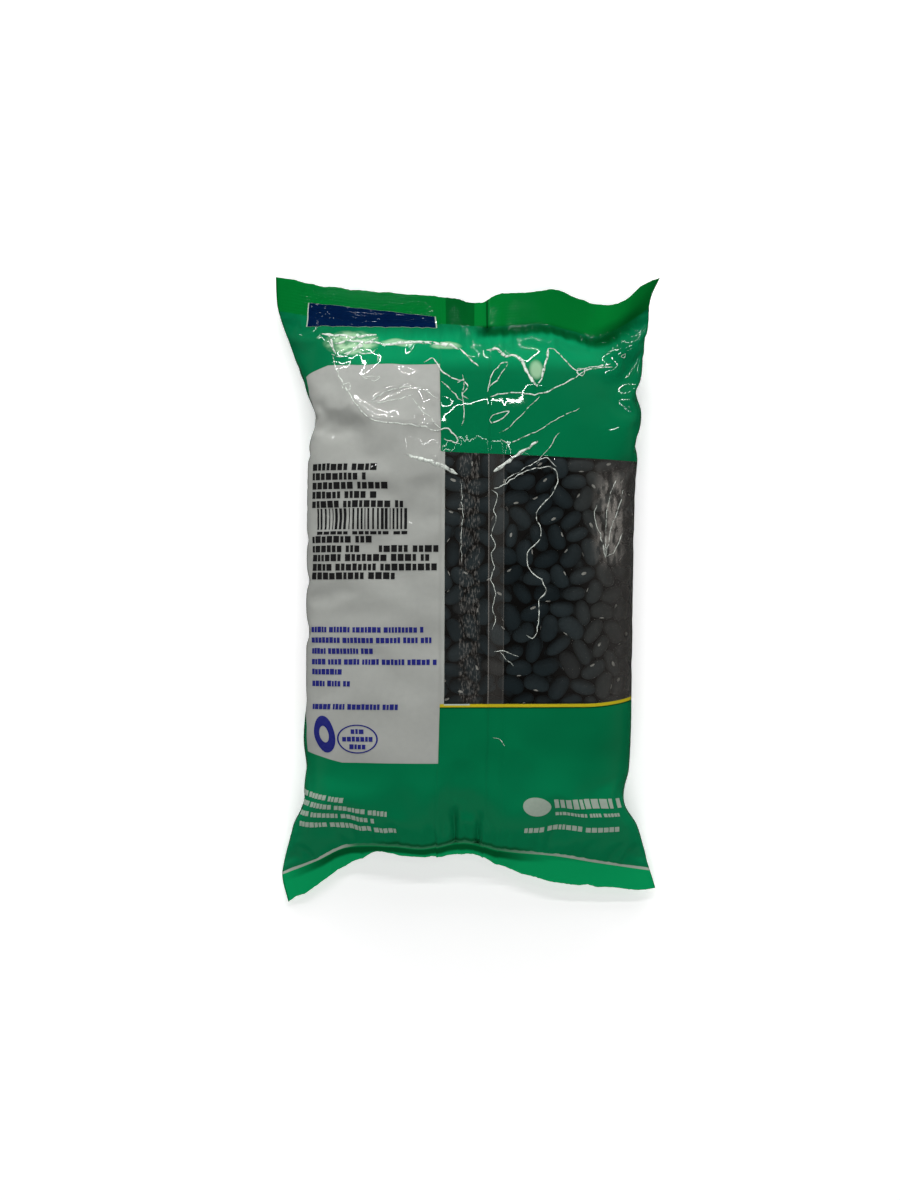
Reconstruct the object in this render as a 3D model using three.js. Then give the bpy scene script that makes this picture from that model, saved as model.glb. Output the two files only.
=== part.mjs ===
// A 500 g pillow bag of dried black beans, lying on its front with its back seam up.
// Millimetres, +Z up, +Y towards the top seal. The origin is under the middle of the bag,
// on the surface that it lies on. The bag is one closed body: a film tube with a lapped
// back seam, crimped flat at both ends and filled tight with beans.
import * as THREE from "three";
import { mergeVertices } from "three/addons/utils/BufferGeometryUtils.js";

// Driving dimensions
const HALF_WIDTH = 73.5; // half of the film tube laid flat, at the seals
const CROWN_HEIGHT = 35.5; // highest film over the beans, above the surface
const SIDE_HEIGHT = 15; // height of the widest line of the filled body
const UNDER_DEPTH = 24; // how far the underside would reach below that line, before the floor stops it
const SECTION_HALF_WIDTH = 63; // half width of the filled cross-section
const SECTION_POWER = 2.7; // superellipse power of the filled cross-section
const SEAL_THICKNESS = 0.8; // the welded layers at each end
const RIM = SEAL_THICKNESS / 2;
const FLOOR_GAP = 0.6; // least height of the middle of the welded layers

// How the film rises from each seal: the length of the rise and the two powers of its curve
const TOP_SHOULDER = { length: 60, power: 2.1, root: 0.85 };
const BOTTOM_SHOULDER = { length: 42, power: 2.4, root: 0.8 };
const UNDER_SHOULDER = { length: 30, power: 2, root: 0.7 };
const SPREAD_FULL = 0.9; // fullness from which the film's width follows the filled cross-section
const SIDE_BLEND = 0.6; // share of the half length over which the side line leaves the seals' height

// The lapped back seam: a raised strip between two edges, across the film laid flat
const SEAM_LEFT = -11;
const SEAM_RIGHT = 7.6;
const SEAM_STEP = 0.5;
const SEAM_EDGE = 0.4; // width over which each seam edge rises

// Clear window in the printed film, in y, where the beans press through
const WINDOW_LOW = -45;
const WINDOW_HIGH = 51;

// Side edges seen from above, as [y, x], from the bottom corner to the top corner
const LEFT_EDGE = [
  [-122.5, -69.8], [-111.5, -72.0], [-102.2, -69.6], [-92.8, -67.0], [-83.5, -64.2], [-69.4, -62.2],
  [-58, -62.8], [-43, -61.7], [-13, -61.7], [20, -61.3], [45, -61.0], [55, -60.4], [66, -58.8],
  [76, -61.6], [90, -66.6], [99, -69.8], [108.4, -73.2], [113, -74.0], [122.5, -74.5],
];
const RIGHT_EDGE = [
  [-117.5, 74.5], [-111.5, 72.6], [-102.2, 69.4], [-92.8, 66.6], [-83.5, 62.8], [-77, 62.0],
  [-69.4, 63.2], [-43, 64.0], [-18, 64.4], [-4, 64.5], [20, 65.0], [43, 65.5], [57, 66.4],
  [69, 67.6], [76, 66.8], [85, 67.8], [94, 69.0], [104, 70.6], [113, 71.6], [119.7, 74.5],
];

// The middle of the film's width, which stays nearly straight between the uneven edges, as [y, x]
const CENTRE_LINE = [[-122.5, -0.8], [-98, -0.4], [-70, 0.2], [-40, 0.9], [90, 1.1], [122.5, 1.1]];

// Cross lines as [s, y], with s from -1 at the left edge to 1 at the right edge
const TOP_OUTER = [
  [-1, 122.5], [-0.88, 120.9], [-0.76, 118.6], [-0.63, 117.4], [-0.42, 115.8], [-0.25, 114.8],
  [-0.08, 113.4], [0.02, 112.0], [0.08, 112.2], [0.17, 115.4], [0.35, 115.4], [0.45, 116.8],
  [0.6, 112.8], [0.72, 111.2], [0.81, 111.9], [0.89, 116.0], [0.95, 118.6], [1, 119.7],
];
const TOP_INNER = [
  [-1, 108.8], [-0.77, 105.7], [-0.55, 103.6], [-0.12, 102.6], [0.09, 101.6], [0.39, 103.0],
  [0.56, 100.6], [0.71, 98.5], [0.84, 102.0], [1, 109.0],
];
const BOTTOM_INNER = [
  [-1, -111.5], [-0.81, -105.9], [-0.64, -100.2], [-0.39, -99.8], [-0.22, -100.6], [0, -97.9],
  [0.2, -101.4], [0.5, -103.7], [0.7, -106.3], [1, -109.8],
];
const BOTTOM_OUTER = [
  [-1, -122.5], [-0.88, -118.6], [-0.76, -112.8], [-0.63, -107.3], [-0.5, -103.2], [-0.42, -103.6],
  [-0.33, -105.0], [-0.16, -104.8], [0, -103.2], [0.09, -104.3], [0.18, -107.4], [0.35, -112.0],
  [0.51, -114.7], [0.73, -116.6], [0.94, -117.9], [1, -117.5],
];

// Heights of the middle of the welded layers along the same lines, as [s, z]
const TOP_OUTER_Z = [
  [-1, 6], [-0.6, 9], [-0.2, 11], [0.04, 7], [0.3, 13], [0.5, 11], [0.72, 7], [0.88, 17], [1, 24],
];
const TOP_INNER_Z = [[-1, 8], [-0.6, 12], [0, 15], [0.4, 14], [0.7, 11], [1, 15]];
const BOTTOM_INNER_Z = [[-1, 6], [-0.55, 13], [0, 15], [0.5, 12], [1, 7]];
const BOTTOM_OUTER_Z = [[-1, 3], [-0.75, 5], [-0.5, 3.5], [0, 5], [0.3, 8], [0.7, 7], [1, 4]];

// Creases that run from the seals into the body, as [x0, y0, x1, y1, depth, width]
const CREASES = [
  [-48, 103, -40, 66, 1.6, 4], [-28, 102, -14, 62, 1.2, 4], [2, 103, -1, 76, 2.2, 3.5],
  [18, 103, 30, 82, 1.4, 4.5], [44, 101, 34, 78, 1.8, 5], [56, 99, 22, 50, 1.6, 4],
  [66, 92, 40, 56, 1.3, 4], [-60, 72, -30, 46, 2.0, 5], [-58, 50, -34, 60, 1.4, 5],
  [-8, -96, -2, -70, 2.6, 3.5], [4, -98, 9, -76, 2.0, 3], [-44, -98, -52, -78, 1.4, 5],
  [30, -101, 44, -84, 1.2, 5], [62, -100, 56, -78, 1.6, 4], [-62, -60, -46, -40, 1.2, 4],
  [46, 28, 54, -2, 1.3, 4],
];

// Beans that press through the film
const BEAN_PITCH = [11.4, 8.6];
const BEAN_HALF = [5.9, 4.2];
const BEAN_RELIEF = 1.4;
const BEAN_SHIFT = [4, 3]; // random shift of each bean in its row, across and along
const BEAN_TURN = 2.4; // range of their random turns, in radians
const BEAN_SIZES = [0.85, 1.15];
const BEAN_SEED = 20507;
const WINDOW_FADE = 8; // distance over which the relief fades outside the window
const PANEL_SHARE = 0.3; // share of the relief under the printed left side
const SIDE_SHARE = 0.5; // share of it along the side edges
const RELIEF_CLEARANCE = 2; // below this height the underside lies flat
const RELIEF_EDGE = 0.97; // from here outwards the relief fades, so that both sides meet at the rim

// How a crease fades along its line: over these millimetres at its start, and from this share to its end
const CREASE_START = [-6, 4];
const CREASE_FADE = 0.5;

// Grid of the film
const LEFT_COLUMNS = 13;
const SEAM_COLUMNS = 5;
const RIGHT_COLUMNS = 19;
const SEAL_ROWS = 3;
const BOTTOM_BAND_ROWS = 13;
const WINDOW_ROWS = 28;
const TOP_BAND_ROWS = 13;
const SECTION_STEPS = 400;
const ROW_CROWDING = 1.5;
const NORMAL_STEP = 0.01; // step for the film's normal, in shares of the width and of the length

const clamp = THREE.MathUtils.clamp;
const lerp = THREE.MathUtils.lerp;
const smoothstep = THREE.MathUtils.smoothstep;

// Smooth curve through [position, value] points: cubic Hermite with centred slopes
function through(points, at) {
  const last = points.length - 1;
  const p = clamp(at, points[0][0], points[last][0]);
  let i = 0;
  while (i < last - 1 && points[i + 1][0] < p) i += 1;
  const slope = (k) => {
    const a = points[Math.max(k - 1, 0)];
    const b = points[Math.min(k + 1, last)];
    return (b[1] - a[1]) / (b[0] - a[0]);
  };
  const [x0, y0] = points[i];
  const [x1, y1] = points[i + 1];
  const h = x1 - x0;
  const u = (p - x0) / h;
  const rise = u * u * (3 - 2 * u);
  const start = u * (1 - u) * (1 - u) * h * slope(i);
  const end = u * u * (u - 1) * h * slope(i + 1);
  return lerp(y0, y1, rise) + start + end;
}

// Seeded random numbers from 0 to 1
function seeded(seed) {
  let state = seed;
  return () => {
    state = (state * 16807) % 2147483647;
    return state / 2147483647;
  };
}

// Quarter superellipse of the filled section, evenly spaced by arc length: [across, up] for 0..1
function sectionTable() {
  const rise = CROWN_HEIGHT - SIDE_HEIGHT;
  const points = [];
  const lengths = [0];
  for (let i = 0; i <= SECTION_STEPS; i += 1) {
    const angle = (i / SECTION_STEPS) * (Math.PI / 2);
    const across = Math.sin(angle) ** (2 / SECTION_POWER);
    const up = Math.max(Math.cos(angle), 0) ** (2 / SECTION_POWER);
    points.push([across, up]);
    if (i > 0) {
      const [a, b] = points[i - 1];
      lengths.push(lengths[i - 1] + Math.hypot((across - a) * SECTION_HALF_WIDTH, (up - b) * rise));
    }
  }
  return { points, lengths };
}

const SECTION = sectionTable();

function sectionPoint(share) {
  const { points, lengths } = SECTION;
  const target = share * lengths[SECTION_STEPS];
  let i = 1;
  while (i < SECTION_STEPS && lengths[i] < target) i += 1;
  const u = clamp((target - lengths[i - 1]) / (lengths[i] - lengths[i - 1]), 0, 1);
  return [lerp(points[i - 1][0], points[i][0], u), lerp(points[i - 1][1], points[i][1], u)];
}

// 0 at a seal, 1 where the body has its full section
function shoulder(distance, { length, power, root }) {
  const left = 1 - clamp(distance / length, 0, 1);
  return (1 - left ** power) ** root;
}

// Where a row lies: part 0 is the bottom seal, 1 the body and 2 the top seal, and share runs 0..1 in it
function rowLine(s, row) {
  const bottom = through(BOTTOM_INNER, s);
  const top = through(TOP_INNER, s);
  if (row.part === 0) return lerp(through(BOTTOM_OUTER, s), bottom, row.share);
  if (row.part === 2) return lerp(top, through(TOP_OUTER, s), row.share);
  return lerp(bottom, top, row.share);
}

// Height of the middle of the film layers: the seals' height at the ends, the side line's between
function middleHeight(s, row) {
  const bottom = through(BOTTOM_INNER_Z, s);
  const top = through(TOP_INNER_Z, s);
  let height;
  if (row.part === 0) height = lerp(through(BOTTOM_OUTER_Z, s), bottom, row.share);
  else if (row.part === 2) height = lerp(top, through(TOP_OUTER_Z, s), row.share);
  else {
    const ends = row.share < 0.5 ? bottom : top;
    const away = 1 - Math.abs(2 * row.share - 1);
    height = lerp(ends, SIDE_HEIGHT, smoothstep(away, 0, SIDE_BLEND));
  }
  return Math.max(height, FLOOR_GAP);
}

// How full the section is above and below the middle, 0 in the seals
function fullness(s, row) {
  if (row.part !== 1) return { above: 0, below: 0 };
  const y = rowLine(s, row);
  const fromBottom = y - through(BOTTOM_INNER, s);
  const fromTop = through(TOP_INNER, s) - y;
  return {
    above: shoulder(fromBottom, BOTTOM_SHOULDER) * shoulder(fromTop, TOP_SHOULDER),
    below: shoulder(fromBottom, UNDER_SHOULDER) * shoulder(fromTop, UNDER_SHOULDER),
  };
}

// A point of the smooth film, on the upper or the lower side
function filmPoint(s, row, side) {
  const leftY = rowLine(-1, row);
  const rightY = rowLine(1, row);
  const leftX = through(LEFT_EDGE, leftY);
  const rightX = through(RIGHT_EDGE, rightY);
  const offCentre = through(CENTRE_LINE, (leftY + rightY) / 2) - (leftX + rightX) / 2;
  const { above, below } = fullness(s, row);
  const [across, up] = sectionPoint(Math.abs(s));
  const spread = smoothstep(above, 0, SPREAD_FULL);
  const reach = Math.sign(s) * lerp(Math.abs(s), across, spread);
  const x = lerp(leftX, rightX, (1 + reach) / 2) + offCentre * (1 - reach ** 2);
  const y = rowLine(s, row);
  const middle = middleHeight(s, row);
  if (side > 0) return new THREE.Vector3(x, y, middle + RIM + (CROWN_HEIGHT - SIDE_HEIGHT) * above * up);
  return new THREE.Vector3(x, y, Math.max(0, middle - RIM - UNDER_DEPTH * below * up));
}

// Jittered rows of beans under the film, each an ellipse turned at random, in film x and y
function beanBumps() {
  const random = seeded(BEAN_SEED);
  const beans = [];
  const reach = HALF_WIDTH + BEAN_HALF[0];
  let odd = 0;
  for (let y = WINDOW_LOW - BEAN_HALF[1]; y < WINDOW_HIGH + BEAN_HALF[1]; y += BEAN_PITCH[1]) {
    for (let x = -reach + odd * BEAN_PITCH[0]; x < reach; x += BEAN_PITCH[0]) {
      beans.push({
        x: x + (random() - 0.5) * BEAN_SHIFT[0],
        y: y + (random() - 0.5) * BEAN_SHIFT[1],
        turn: (random() - 0.5) * BEAN_TURN,
        size: lerp(...BEAN_SIZES, random()),
      });
    }
    odd = odd ? 0 : 0.5;
  }
  return beans;
}

const BEANS = beanBumps();

function beanRelief(filmX, y) {
  let height = 0;
  for (const bean of BEANS) {
    const dx = filmX - bean.x;
    const dy = y - bean.y;
    const along = (dx * Math.cos(bean.turn) + dy * Math.sin(bean.turn)) / (BEAN_HALF[0] * bean.size);
    const across = (dy * Math.cos(bean.turn) - dx * Math.sin(bean.turn)) / (BEAN_HALF[1] * bean.size);
    height = Math.max(height, 1 - along * along - across * across);
  }
  return BEAN_RELIEF * height;
}

function creaseRelief(x, y) {
  let depth = 0;
  for (const [x0, y0, x1, y1, deep, wide] of CREASES) {
    const length = Math.hypot(x1 - x0, y1 - y0);
    const along = ((x - x0) * (x1 - x0) + (y - y0) * (y1 - y0)) / length;
    const aside = ((x - x0) * (y1 - y0) - (y - y0) * (x1 - x0)) / length;
    const fade = smoothstep(along, ...CREASE_START) * (1 - smoothstep(along, length * CREASE_FADE, length));
    depth += deep * fade * Math.exp(-((aside / wide) ** 2));
  }
  return -depth;
}

function seamRelief(filmX) {
  const rise = smoothstep(filmX, SEAM_LEFT - SEAM_EDGE, SEAM_LEFT);
  return SEAM_STEP * rise * (1 - smoothstep(filmX, SEAM_RIGHT, SEAM_RIGHT + SEAM_EDGE));
}

// How far the film stands off the smooth shape, outwards
function relief(s, row, side, point) {
  const filmX = s * HALF_WIDTH;
  const { above } = fullness(s, row);
  const low = smoothstep(point.y, WINDOW_LOW - WINDOW_FADE, WINDOW_LOW);
  const high = smoothstep(point.y, WINDOW_HIGH, WINDOW_HIGH + WINDOW_FADE);
  const nearSide = smoothstep(Math.abs(s), 0.8, 1);
  const beans = beanRelief(filmX, point.y) * low * (1 - high) * above * lerp(1, SIDE_SHARE, nearSide);
  if (side < 0) return point.z > RELIEF_CLEARANCE ? beans : 0;
  const panel = 1 - smoothstep(filmX, SEAM_LEFT - WINDOW_FADE, SEAM_LEFT);
  return beans * lerp(1, PANEL_SHARE, panel) + creaseRelief(point.x, point.y) * above + seamRelief(filmX);
}

// The film's point with its relief, moved along the smooth film's normal
function reliefPoint(s, row, side) {
  const point = filmPoint(s, row, side);
  const left = filmPoint(clamp(s - NORMAL_STEP, -1, 1), row, side);
  const right = filmPoint(clamp(s + NORMAL_STEP, -1, 1), row, side);
  const share = clamp(row.share, NORMAL_STEP, 1 - NORMAL_STEP);
  const back = filmPoint(s, { part: row.part, share: share - NORMAL_STEP }, side);
  const on = filmPoint(s, { part: row.part, share: share + NORMAL_STEP }, side);
  const normal = right.sub(left).cross(on.sub(back)).normalize().multiplyScalar(side);
  const edge = 1 - smoothstep(Math.abs(s), RELIEF_EDGE, 1);
  point.addScaledVector(normal, relief(s, row, side, point) * edge);
  point.z = Math.max(point.z, 0);
  return point;
}

function evenly(from, to, count) {
  return Array.from({ length: count }, (_, i) => lerp(from, to, i / count));
}

// Positions across the film, with a close pair of columns at each seam edge
function columns() {
  const edge = SEAM_EDGE / HALF_WIDTH;
  const seamLeft = SEAM_LEFT / HALF_WIDTH;
  const seamRight = SEAM_RIGHT / HALF_WIDTH;
  return [
    ...evenly(-1, seamLeft - edge, LEFT_COLUMNS),
    seamLeft - edge,
    ...evenly(seamLeft, seamRight, SEAM_COLUMNS),
    seamRight,
    ...evenly(seamRight + edge, 1, RIGHT_COLUMNS),
    1,
  ];
}

function rows() {
  const length = through(TOP_INNER, 0) - through(BOTTOM_INNER, 0);
  const low = (WINDOW_LOW - through(BOTTOM_INNER, 0)) / length;
  const high = (WINDOW_HIGH - through(BOTTOM_INNER, 0)) / length;
  // rows crowd towards each seal, where the film turns fastest
  const crowd = (u) => u ** ROW_CROWDING;
  return [
    ...evenly(0, 1, SEAL_ROWS).map((share) => ({ part: 0, share })),
    ...evenly(0, 1, BOTTOM_BAND_ROWS).map((u) => ({ part: 1, share: low * crowd(u) })),
    ...evenly(low, high, WINDOW_ROWS).map((share) => ({ part: 1, share })),
    ...evenly(0, 1, TOP_BAND_ROWS).map((u) => ({ part: 1, share: 1 - (1 - high) * crowd(1 - u) })),
    ...evenly(0, 1, SEAL_ROWS).map((share) => ({ part: 2, share })),
    { part: 2, share: 1 },
  ];
}

// One closed body: the upper film, the lower film and the rim that joins their edges
function bagGeometry() {
  const across = columns();
  const along = rows();
  const wide = across.length;
  const long = along.length;
  const positions = [];
  const faces = [];
  for (const side of [1, -1]) {
    for (const row of along) {
      for (const s of across) positions.push(...reliefPoint(s, row, side).toArray());
    }
  }
  const index = (side, i, j) => (side > 0 ? 0 : wide * long) + j * wide + i;
  const quad = (a, b, c, d) => faces.push(a, b, c, a, c, d);
  for (let j = 0; j < long - 1; j += 1) {
    for (let i = 0; i < wide - 1; i += 1) {
      quad(index(1, i, j), index(1, i + 1, j), index(1, i + 1, j + 1), index(1, i, j + 1));
      quad(index(-1, i, j + 1), index(-1, i + 1, j + 1), index(-1, i + 1, j), index(-1, i, j));
    }
    const left = 0;
    const right = wide - 1;
    quad(index(-1, left, j), index(1, left, j), index(1, left, j + 1), index(-1, left, j + 1));
    quad(index(1, right, j), index(-1, right, j), index(-1, right, j + 1), index(1, right, j + 1));
  }
  const end = long - 1;
  for (let i = 0; i < wide - 1; i += 1) {
    quad(index(-1, i, 0), index(-1, i + 1, 0), index(1, i + 1, 0), index(1, i, 0));
    quad(index(1, i, end), index(1, i + 1, end), index(-1, i + 1, end), index(-1, i, end));
  }
  const geometry = new THREE.BufferGeometry();
  geometry.setAttribute("position", new THREE.Float32BufferAttribute(positions, 3));
  geometry.setIndex(faces);
  geometry.computeBoundingBox();
  const middle = geometry.boundingBox.getCenter(new THREE.Vector3());
  geometry.translate(-middle.x, -middle.y, 0);
  return mergeVertices(geometry, 1e-4);
}

const film = new THREE.MeshStandardMaterial({ color: 0x00794a, roughness: 0.25, metalness: 0 });
const bag = new THREE.Mesh(bagGeometry(), film);
bag.name = "bag";

const group = new THREE.Group();
group.add(bag);

export default group;
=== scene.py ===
# Looks of a 500 g pillow bag of dried black beans, lying on its front with its back seam up.
# Film lengths are millimetres, as on the frame's solid, and become metres where meshes are made.
import math

import bpy
import numpy as np
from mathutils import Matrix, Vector
from mathutils.bvhtree import BVHTree


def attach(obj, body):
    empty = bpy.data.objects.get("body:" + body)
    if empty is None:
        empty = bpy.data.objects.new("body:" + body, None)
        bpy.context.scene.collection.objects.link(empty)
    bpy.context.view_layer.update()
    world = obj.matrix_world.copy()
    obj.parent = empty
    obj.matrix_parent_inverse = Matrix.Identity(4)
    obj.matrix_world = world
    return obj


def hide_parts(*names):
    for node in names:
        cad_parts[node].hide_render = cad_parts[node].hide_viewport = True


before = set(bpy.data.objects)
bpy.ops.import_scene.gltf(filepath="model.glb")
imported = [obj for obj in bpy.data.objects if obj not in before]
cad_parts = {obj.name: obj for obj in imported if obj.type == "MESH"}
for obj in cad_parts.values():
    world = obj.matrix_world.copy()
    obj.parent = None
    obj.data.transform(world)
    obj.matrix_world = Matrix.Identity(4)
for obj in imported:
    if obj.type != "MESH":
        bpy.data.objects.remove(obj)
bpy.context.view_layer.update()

MM = 0.001

# The film tube, as on the frame's solid
HALF_WIDTH = 73.5
CROWN_HEIGHT = 35.5
SIDE_HEIGHT = 15.0
UNDER_DEPTH = 24.0
SECTION_POWER = 2.7
SECTION_HALF_WIDTH = 63.0
SECTION_STEPS = 400
FULL_SPREAD = 0.9
RIM = 0.4
SIDE_RIM_SHARE = 0.3
SIDE_RIM_START = 0.96
FLOOR_GAP = 0.6
END_REACH = 0.6

# How the section fills from a seal inwards, as (length, power, root)
TOP_SHOULDER = (60, 2.1, 0.85)
BOTTOM_SHOULDER = (42, 2.4, 0.8)
UNDER_SHOULDER = (30, 2, 0.7)

# Side edges seen from above, as [y, x]
LEFT_EDGE = [
    [-122.5, -69.8], [-111.5, -72], [-102.2, -69.6], [-92.8, -67], [-83.5, -64.2], [-69.4, -62.2],
    [-58, -62.8], [-43, -61.7], [-13, -61.7], [20, -61.3], [45, -61], [55, -60.4], [66, -58.8],
    [76, -61.6], [90, -66.6], [99, -69.8], [108.4, -73.2], [113, -74], [122.5, -74.5],
]
RIGHT_EDGE = [
    [-117.5, 74.5], [-111.5, 72.6], [-102.2, 69.4], [-92.8, 66.6], [-83.5, 62.8], [-77, 62],
    [-69.4, 63.2], [-43, 64], [-18, 64.4], [-4, 64.5], [20, 65], [43, 65.5], [57, 66.4],
    [69, 67.6], [76, 66.8], [85, 67.8], [94, 69], [104, 70.6], [113, 71.6], [119.7, 74.5],
]

# The middle of the film's width, which stays nearly straight between the uneven edges, as [y, x]
CENTRE_LINE = [[-122.5, -0.8], [-98, -0.4], [-70, 0.2], [-40, 0.9], [90, 1.1], [122.5, 1.1]]

# Cross lines as [s, y], with s from -1 at the left edge to 1 at the right edge
TOP_OUTER = [
    [-1, 122.5], [-0.88, 120.9], [-0.76, 118.6], [-0.63, 117.4], [-0.42, 115.8], [-0.25, 114.8],
    [-0.08, 113.4], [0.02, 112], [0.08, 112.2], [0.17, 115.4], [0.35, 115.4], [0.45, 116.8],
    [0.6, 112.8], [0.72, 111.2], [0.81, 111.9], [0.89, 116], [0.95, 118.6], [1, 119.7],
]
TOP_INNER = [
    [-1, 108.8], [-0.77, 105.7], [-0.55, 103.6], [-0.12, 102.6], [0.09, 101.6], [0.39, 103],
    [0.56, 100.6], [0.71, 98.5], [0.84, 102], [1, 109],
]
BOTTOM_INNER = [
    [-1, -111.5], [-0.81, -105.9], [-0.64, -100.2], [-0.39, -99.8], [-0.22, -100.6], [0, -97.9],
    [0.2, -101.4], [0.5, -103.7], [0.7, -106.3], [1, -109.8],
]
BOTTOM_OUTER = [
    [-1, -122.5], [-0.88, -118.6], [-0.76, -112.8], [-0.63, -107.3], [-0.5, -103.2], [-0.42, -103.6],
    [-0.33, -105], [-0.16, -104.8], [0, -103.2], [0.09, -104.3], [0.18, -107.4], [0.35, -112],
    [0.51, -114.7], [0.73, -116.6], [0.94, -117.9], [1, -117.5],
]

# Heights of the middle of the welded layers along the same lines, as [s, z]
TOP_OUTER_Z = [
    [-1, 6], [-0.6, 9], [-0.2, 11], [0.04, 7], [0.3, 13], [0.5, 11], [0.72, 7], [0.88, 17], [1, 24],
]
TOP_INNER_Z = [[-1, 8], [-0.6, 12], [0, 15], [0.4, 14], [0.7, 11], [1, 15]]
BOTTOM_INNER_Z = [[-1, 6], [-0.55, 13], [0, 15], [0.5, 12], [1, 7]]
BOTTOM_OUTER_Z = [[-1, 3], [-0.75, 5], [-0.5, 3.5], [0, 5], [0.3, 8], [0.7, 7], [1, 4]]

# The lapped back seam, across the film laid flat
SEAM_LEFT = -11.0
SEAM_RIGHT = 7.6
SEAM_STEP = 0.4
SEAM_EDGE = 0.3
HEM_RIGHT = 13.2
HEM_STEP = 0.12
WELD_LEFT = -3.8
WELD_RIGHT = 4.1
WELD_RIB = 0.03
WELD_EDGE = 0.4
WELD_JOIN = 0.4

# Cells across the film from its left edge, close at each edge of the seam, as (end, cells)
COLUMN_RUNS = [
    (SEAM_LEFT - SEAM_EDGE, 70), (SEAM_LEFT, 1), (WELD_LEFT, 8), (WELD_RIGHT, 14), (SEAM_RIGHT, 5),
    (SEAM_RIGHT + SEAM_EDGE, 1), (HEM_RIGHT, 6), (HEM_RIGHT + SEAM_EDGE, 1), (HALF_WIDTH, 66),
]

# Printed fields, across and along the film
WINDOW_LOW = -43.6
WINDOW_HIGH = 52.1
WINDOW_SLOPE = 0.041
WINDOW_RISE = 3.0
LINE_WIDTH = 1.2
PANEL_TOP = 86.2
PANEL_LAP = 1.6
PANEL_BOTTOM = -66.2
PANEL_LEFT = -65.6
PANEL_WRAP = 13.0
LAP_SHARE = 0.72
THIN_LINE = 0.5
END_LINE_REST = 0.08

# Soft edges, as (place, softness)
EDGE = 0.05
RISE_AT = (62, 16)
WRAP_FROM = (-44, 10)
WRAP_TO = (70, 9)
END_LINE_LEFT = (-46, 4)
END_LINE_RIGHT = (26, 16)

# Stripes, as (from, to), with a softness where it isn't the usual one
END_LINE = (-0.25, 0.85)
LAP_LINE = (WINDOW_LOW - THIN_LINE, WINDOW_LOW + 0.1)
LAP_LINE_ACROSS = (SEAM_LEFT + PANEL_LAP, 0.6)
LAP = (-9, 2.2, 0.15)
CREASE_LINE = (SEAM_RIGHT - 0.7, SEAM_RIGHT + 0.1, 0.15)

# Where the panel's left corners start to slope, and how steeply
TOP_CORNER = (53.8, -0.36)
LOW_CORNER = (48.6, 0.23)

# Wrinkles: how much longer the film is than the surface that it lies on, and how stiff it is
SLACK_ALL = 0.006
SLACK_TOP = 0.045
SLACK_BOTTOM = 0.026
SLACK_SIDE = 0.014
SEAL_REACH = 26.0
SIDE_REACH = 14.0
UPPER_EXTRA = 0.018
CRUMPLE_REACH = (0, 70)
CELL_STIFFNESS = 0.9
SLANT_STIFFNESS = 0.5
BEND_STIFFNESS = 0.002
SLIDE_LIMIT = 0.35
WRINKLE_SEED = 41

# Levels of the wrinkles from coarse to fine, as (cells across, rows, steps), and the noise that starts them,
# as (height, rows, columns)
LEVELS = ((36, 55, 300), (72, 109, 300), (144, 217, 300))
FIRST_NOISE = (0.5, 28, 36)
LEVEL_NOISE = 0.08

# How deep the film may sink and how high it may rise: near the seals, and the change towards the middle
FREE_FROM = 12
HELD_FROM = 45
LOWEST = (-3.0, 1.8)
HIGHEST = (3.0, -1.0)
SIDE_SHARE = 0.2
SIDE_HELD = 14

# Fields that are stretched smooth: how far, and where along the film each starts, is full, fades and ends
WINDOW_FOOT = (WINDOW_LOW - 6, WINDOW_LOW + 4)
WINDOW_HEAD = (30, WINDOW_HIGH + 4)
BELOW_SEAL = (88, 98)
TAUT_WINDOW = (0.85, *WINDOW_FOOT, *WINDOW_HEAD)
TAUT_BAND = (0.6, -82, -70, *WINDOW_FOOT)
TAUT_TOP = (0.92, *WINDOW_HEAD, *BELOW_SEAL)
TAUT_PANEL = (0.25, *WINDOW_FOOT, *BELOW_SEAL)
TAUT_CORNER = (0.45, 66, 76)
TAUT_SEAM = (SEAM_LEFT - 4, SEAM_LEFT + 8)
TAUT_SIDE = (47, 64)

# Folds that start the wrinkles, as [x0, y0, x1, y1, height, width]
FOLDS = [
    [-46, 98, -38, 66, -1.4, 4], [-26, 100, -12, 62, -1.1, 4], [2, 103, -1, 76, -2, 3.5],
    [18, 103, 30, 82, -1.4, 4.5], [34, 92, 38, 74, 1.6, 4], [44, 101, 34, 78, -1.6, 5],
    [56, 99, 22, 50, -1.4, 4], [66, 92, 40, 56, -1.3, 4], [-60, 72, -30, 46, -1.8, 5],
    [-47, 95, -40, 70, 1.2, 3], [-40, 70, -22, 50, 1.6, 3.5], [-22, 50, -2, 44, 1.2, 4],
    [-58, 50, -34, 60, -1.3, 5], [-8, -96, -2, -70, -2.4, 3.5], [4, -98, 9, -76, -1.8, 3],
    [-44, -98, -52, -78, -1.3, 5], [30, -101, 44, -84, -1.2, 5], [62, -100, 56, -78, -1.5, 4],
    [-62, -60, -46, -40, -1.1, 4], [46, 28, 54, -2, -1.2, 4], [38, 50, 28, 20, 0.9, 4],
    [28, 20, 34, -20, 0.9, 4],
]

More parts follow.
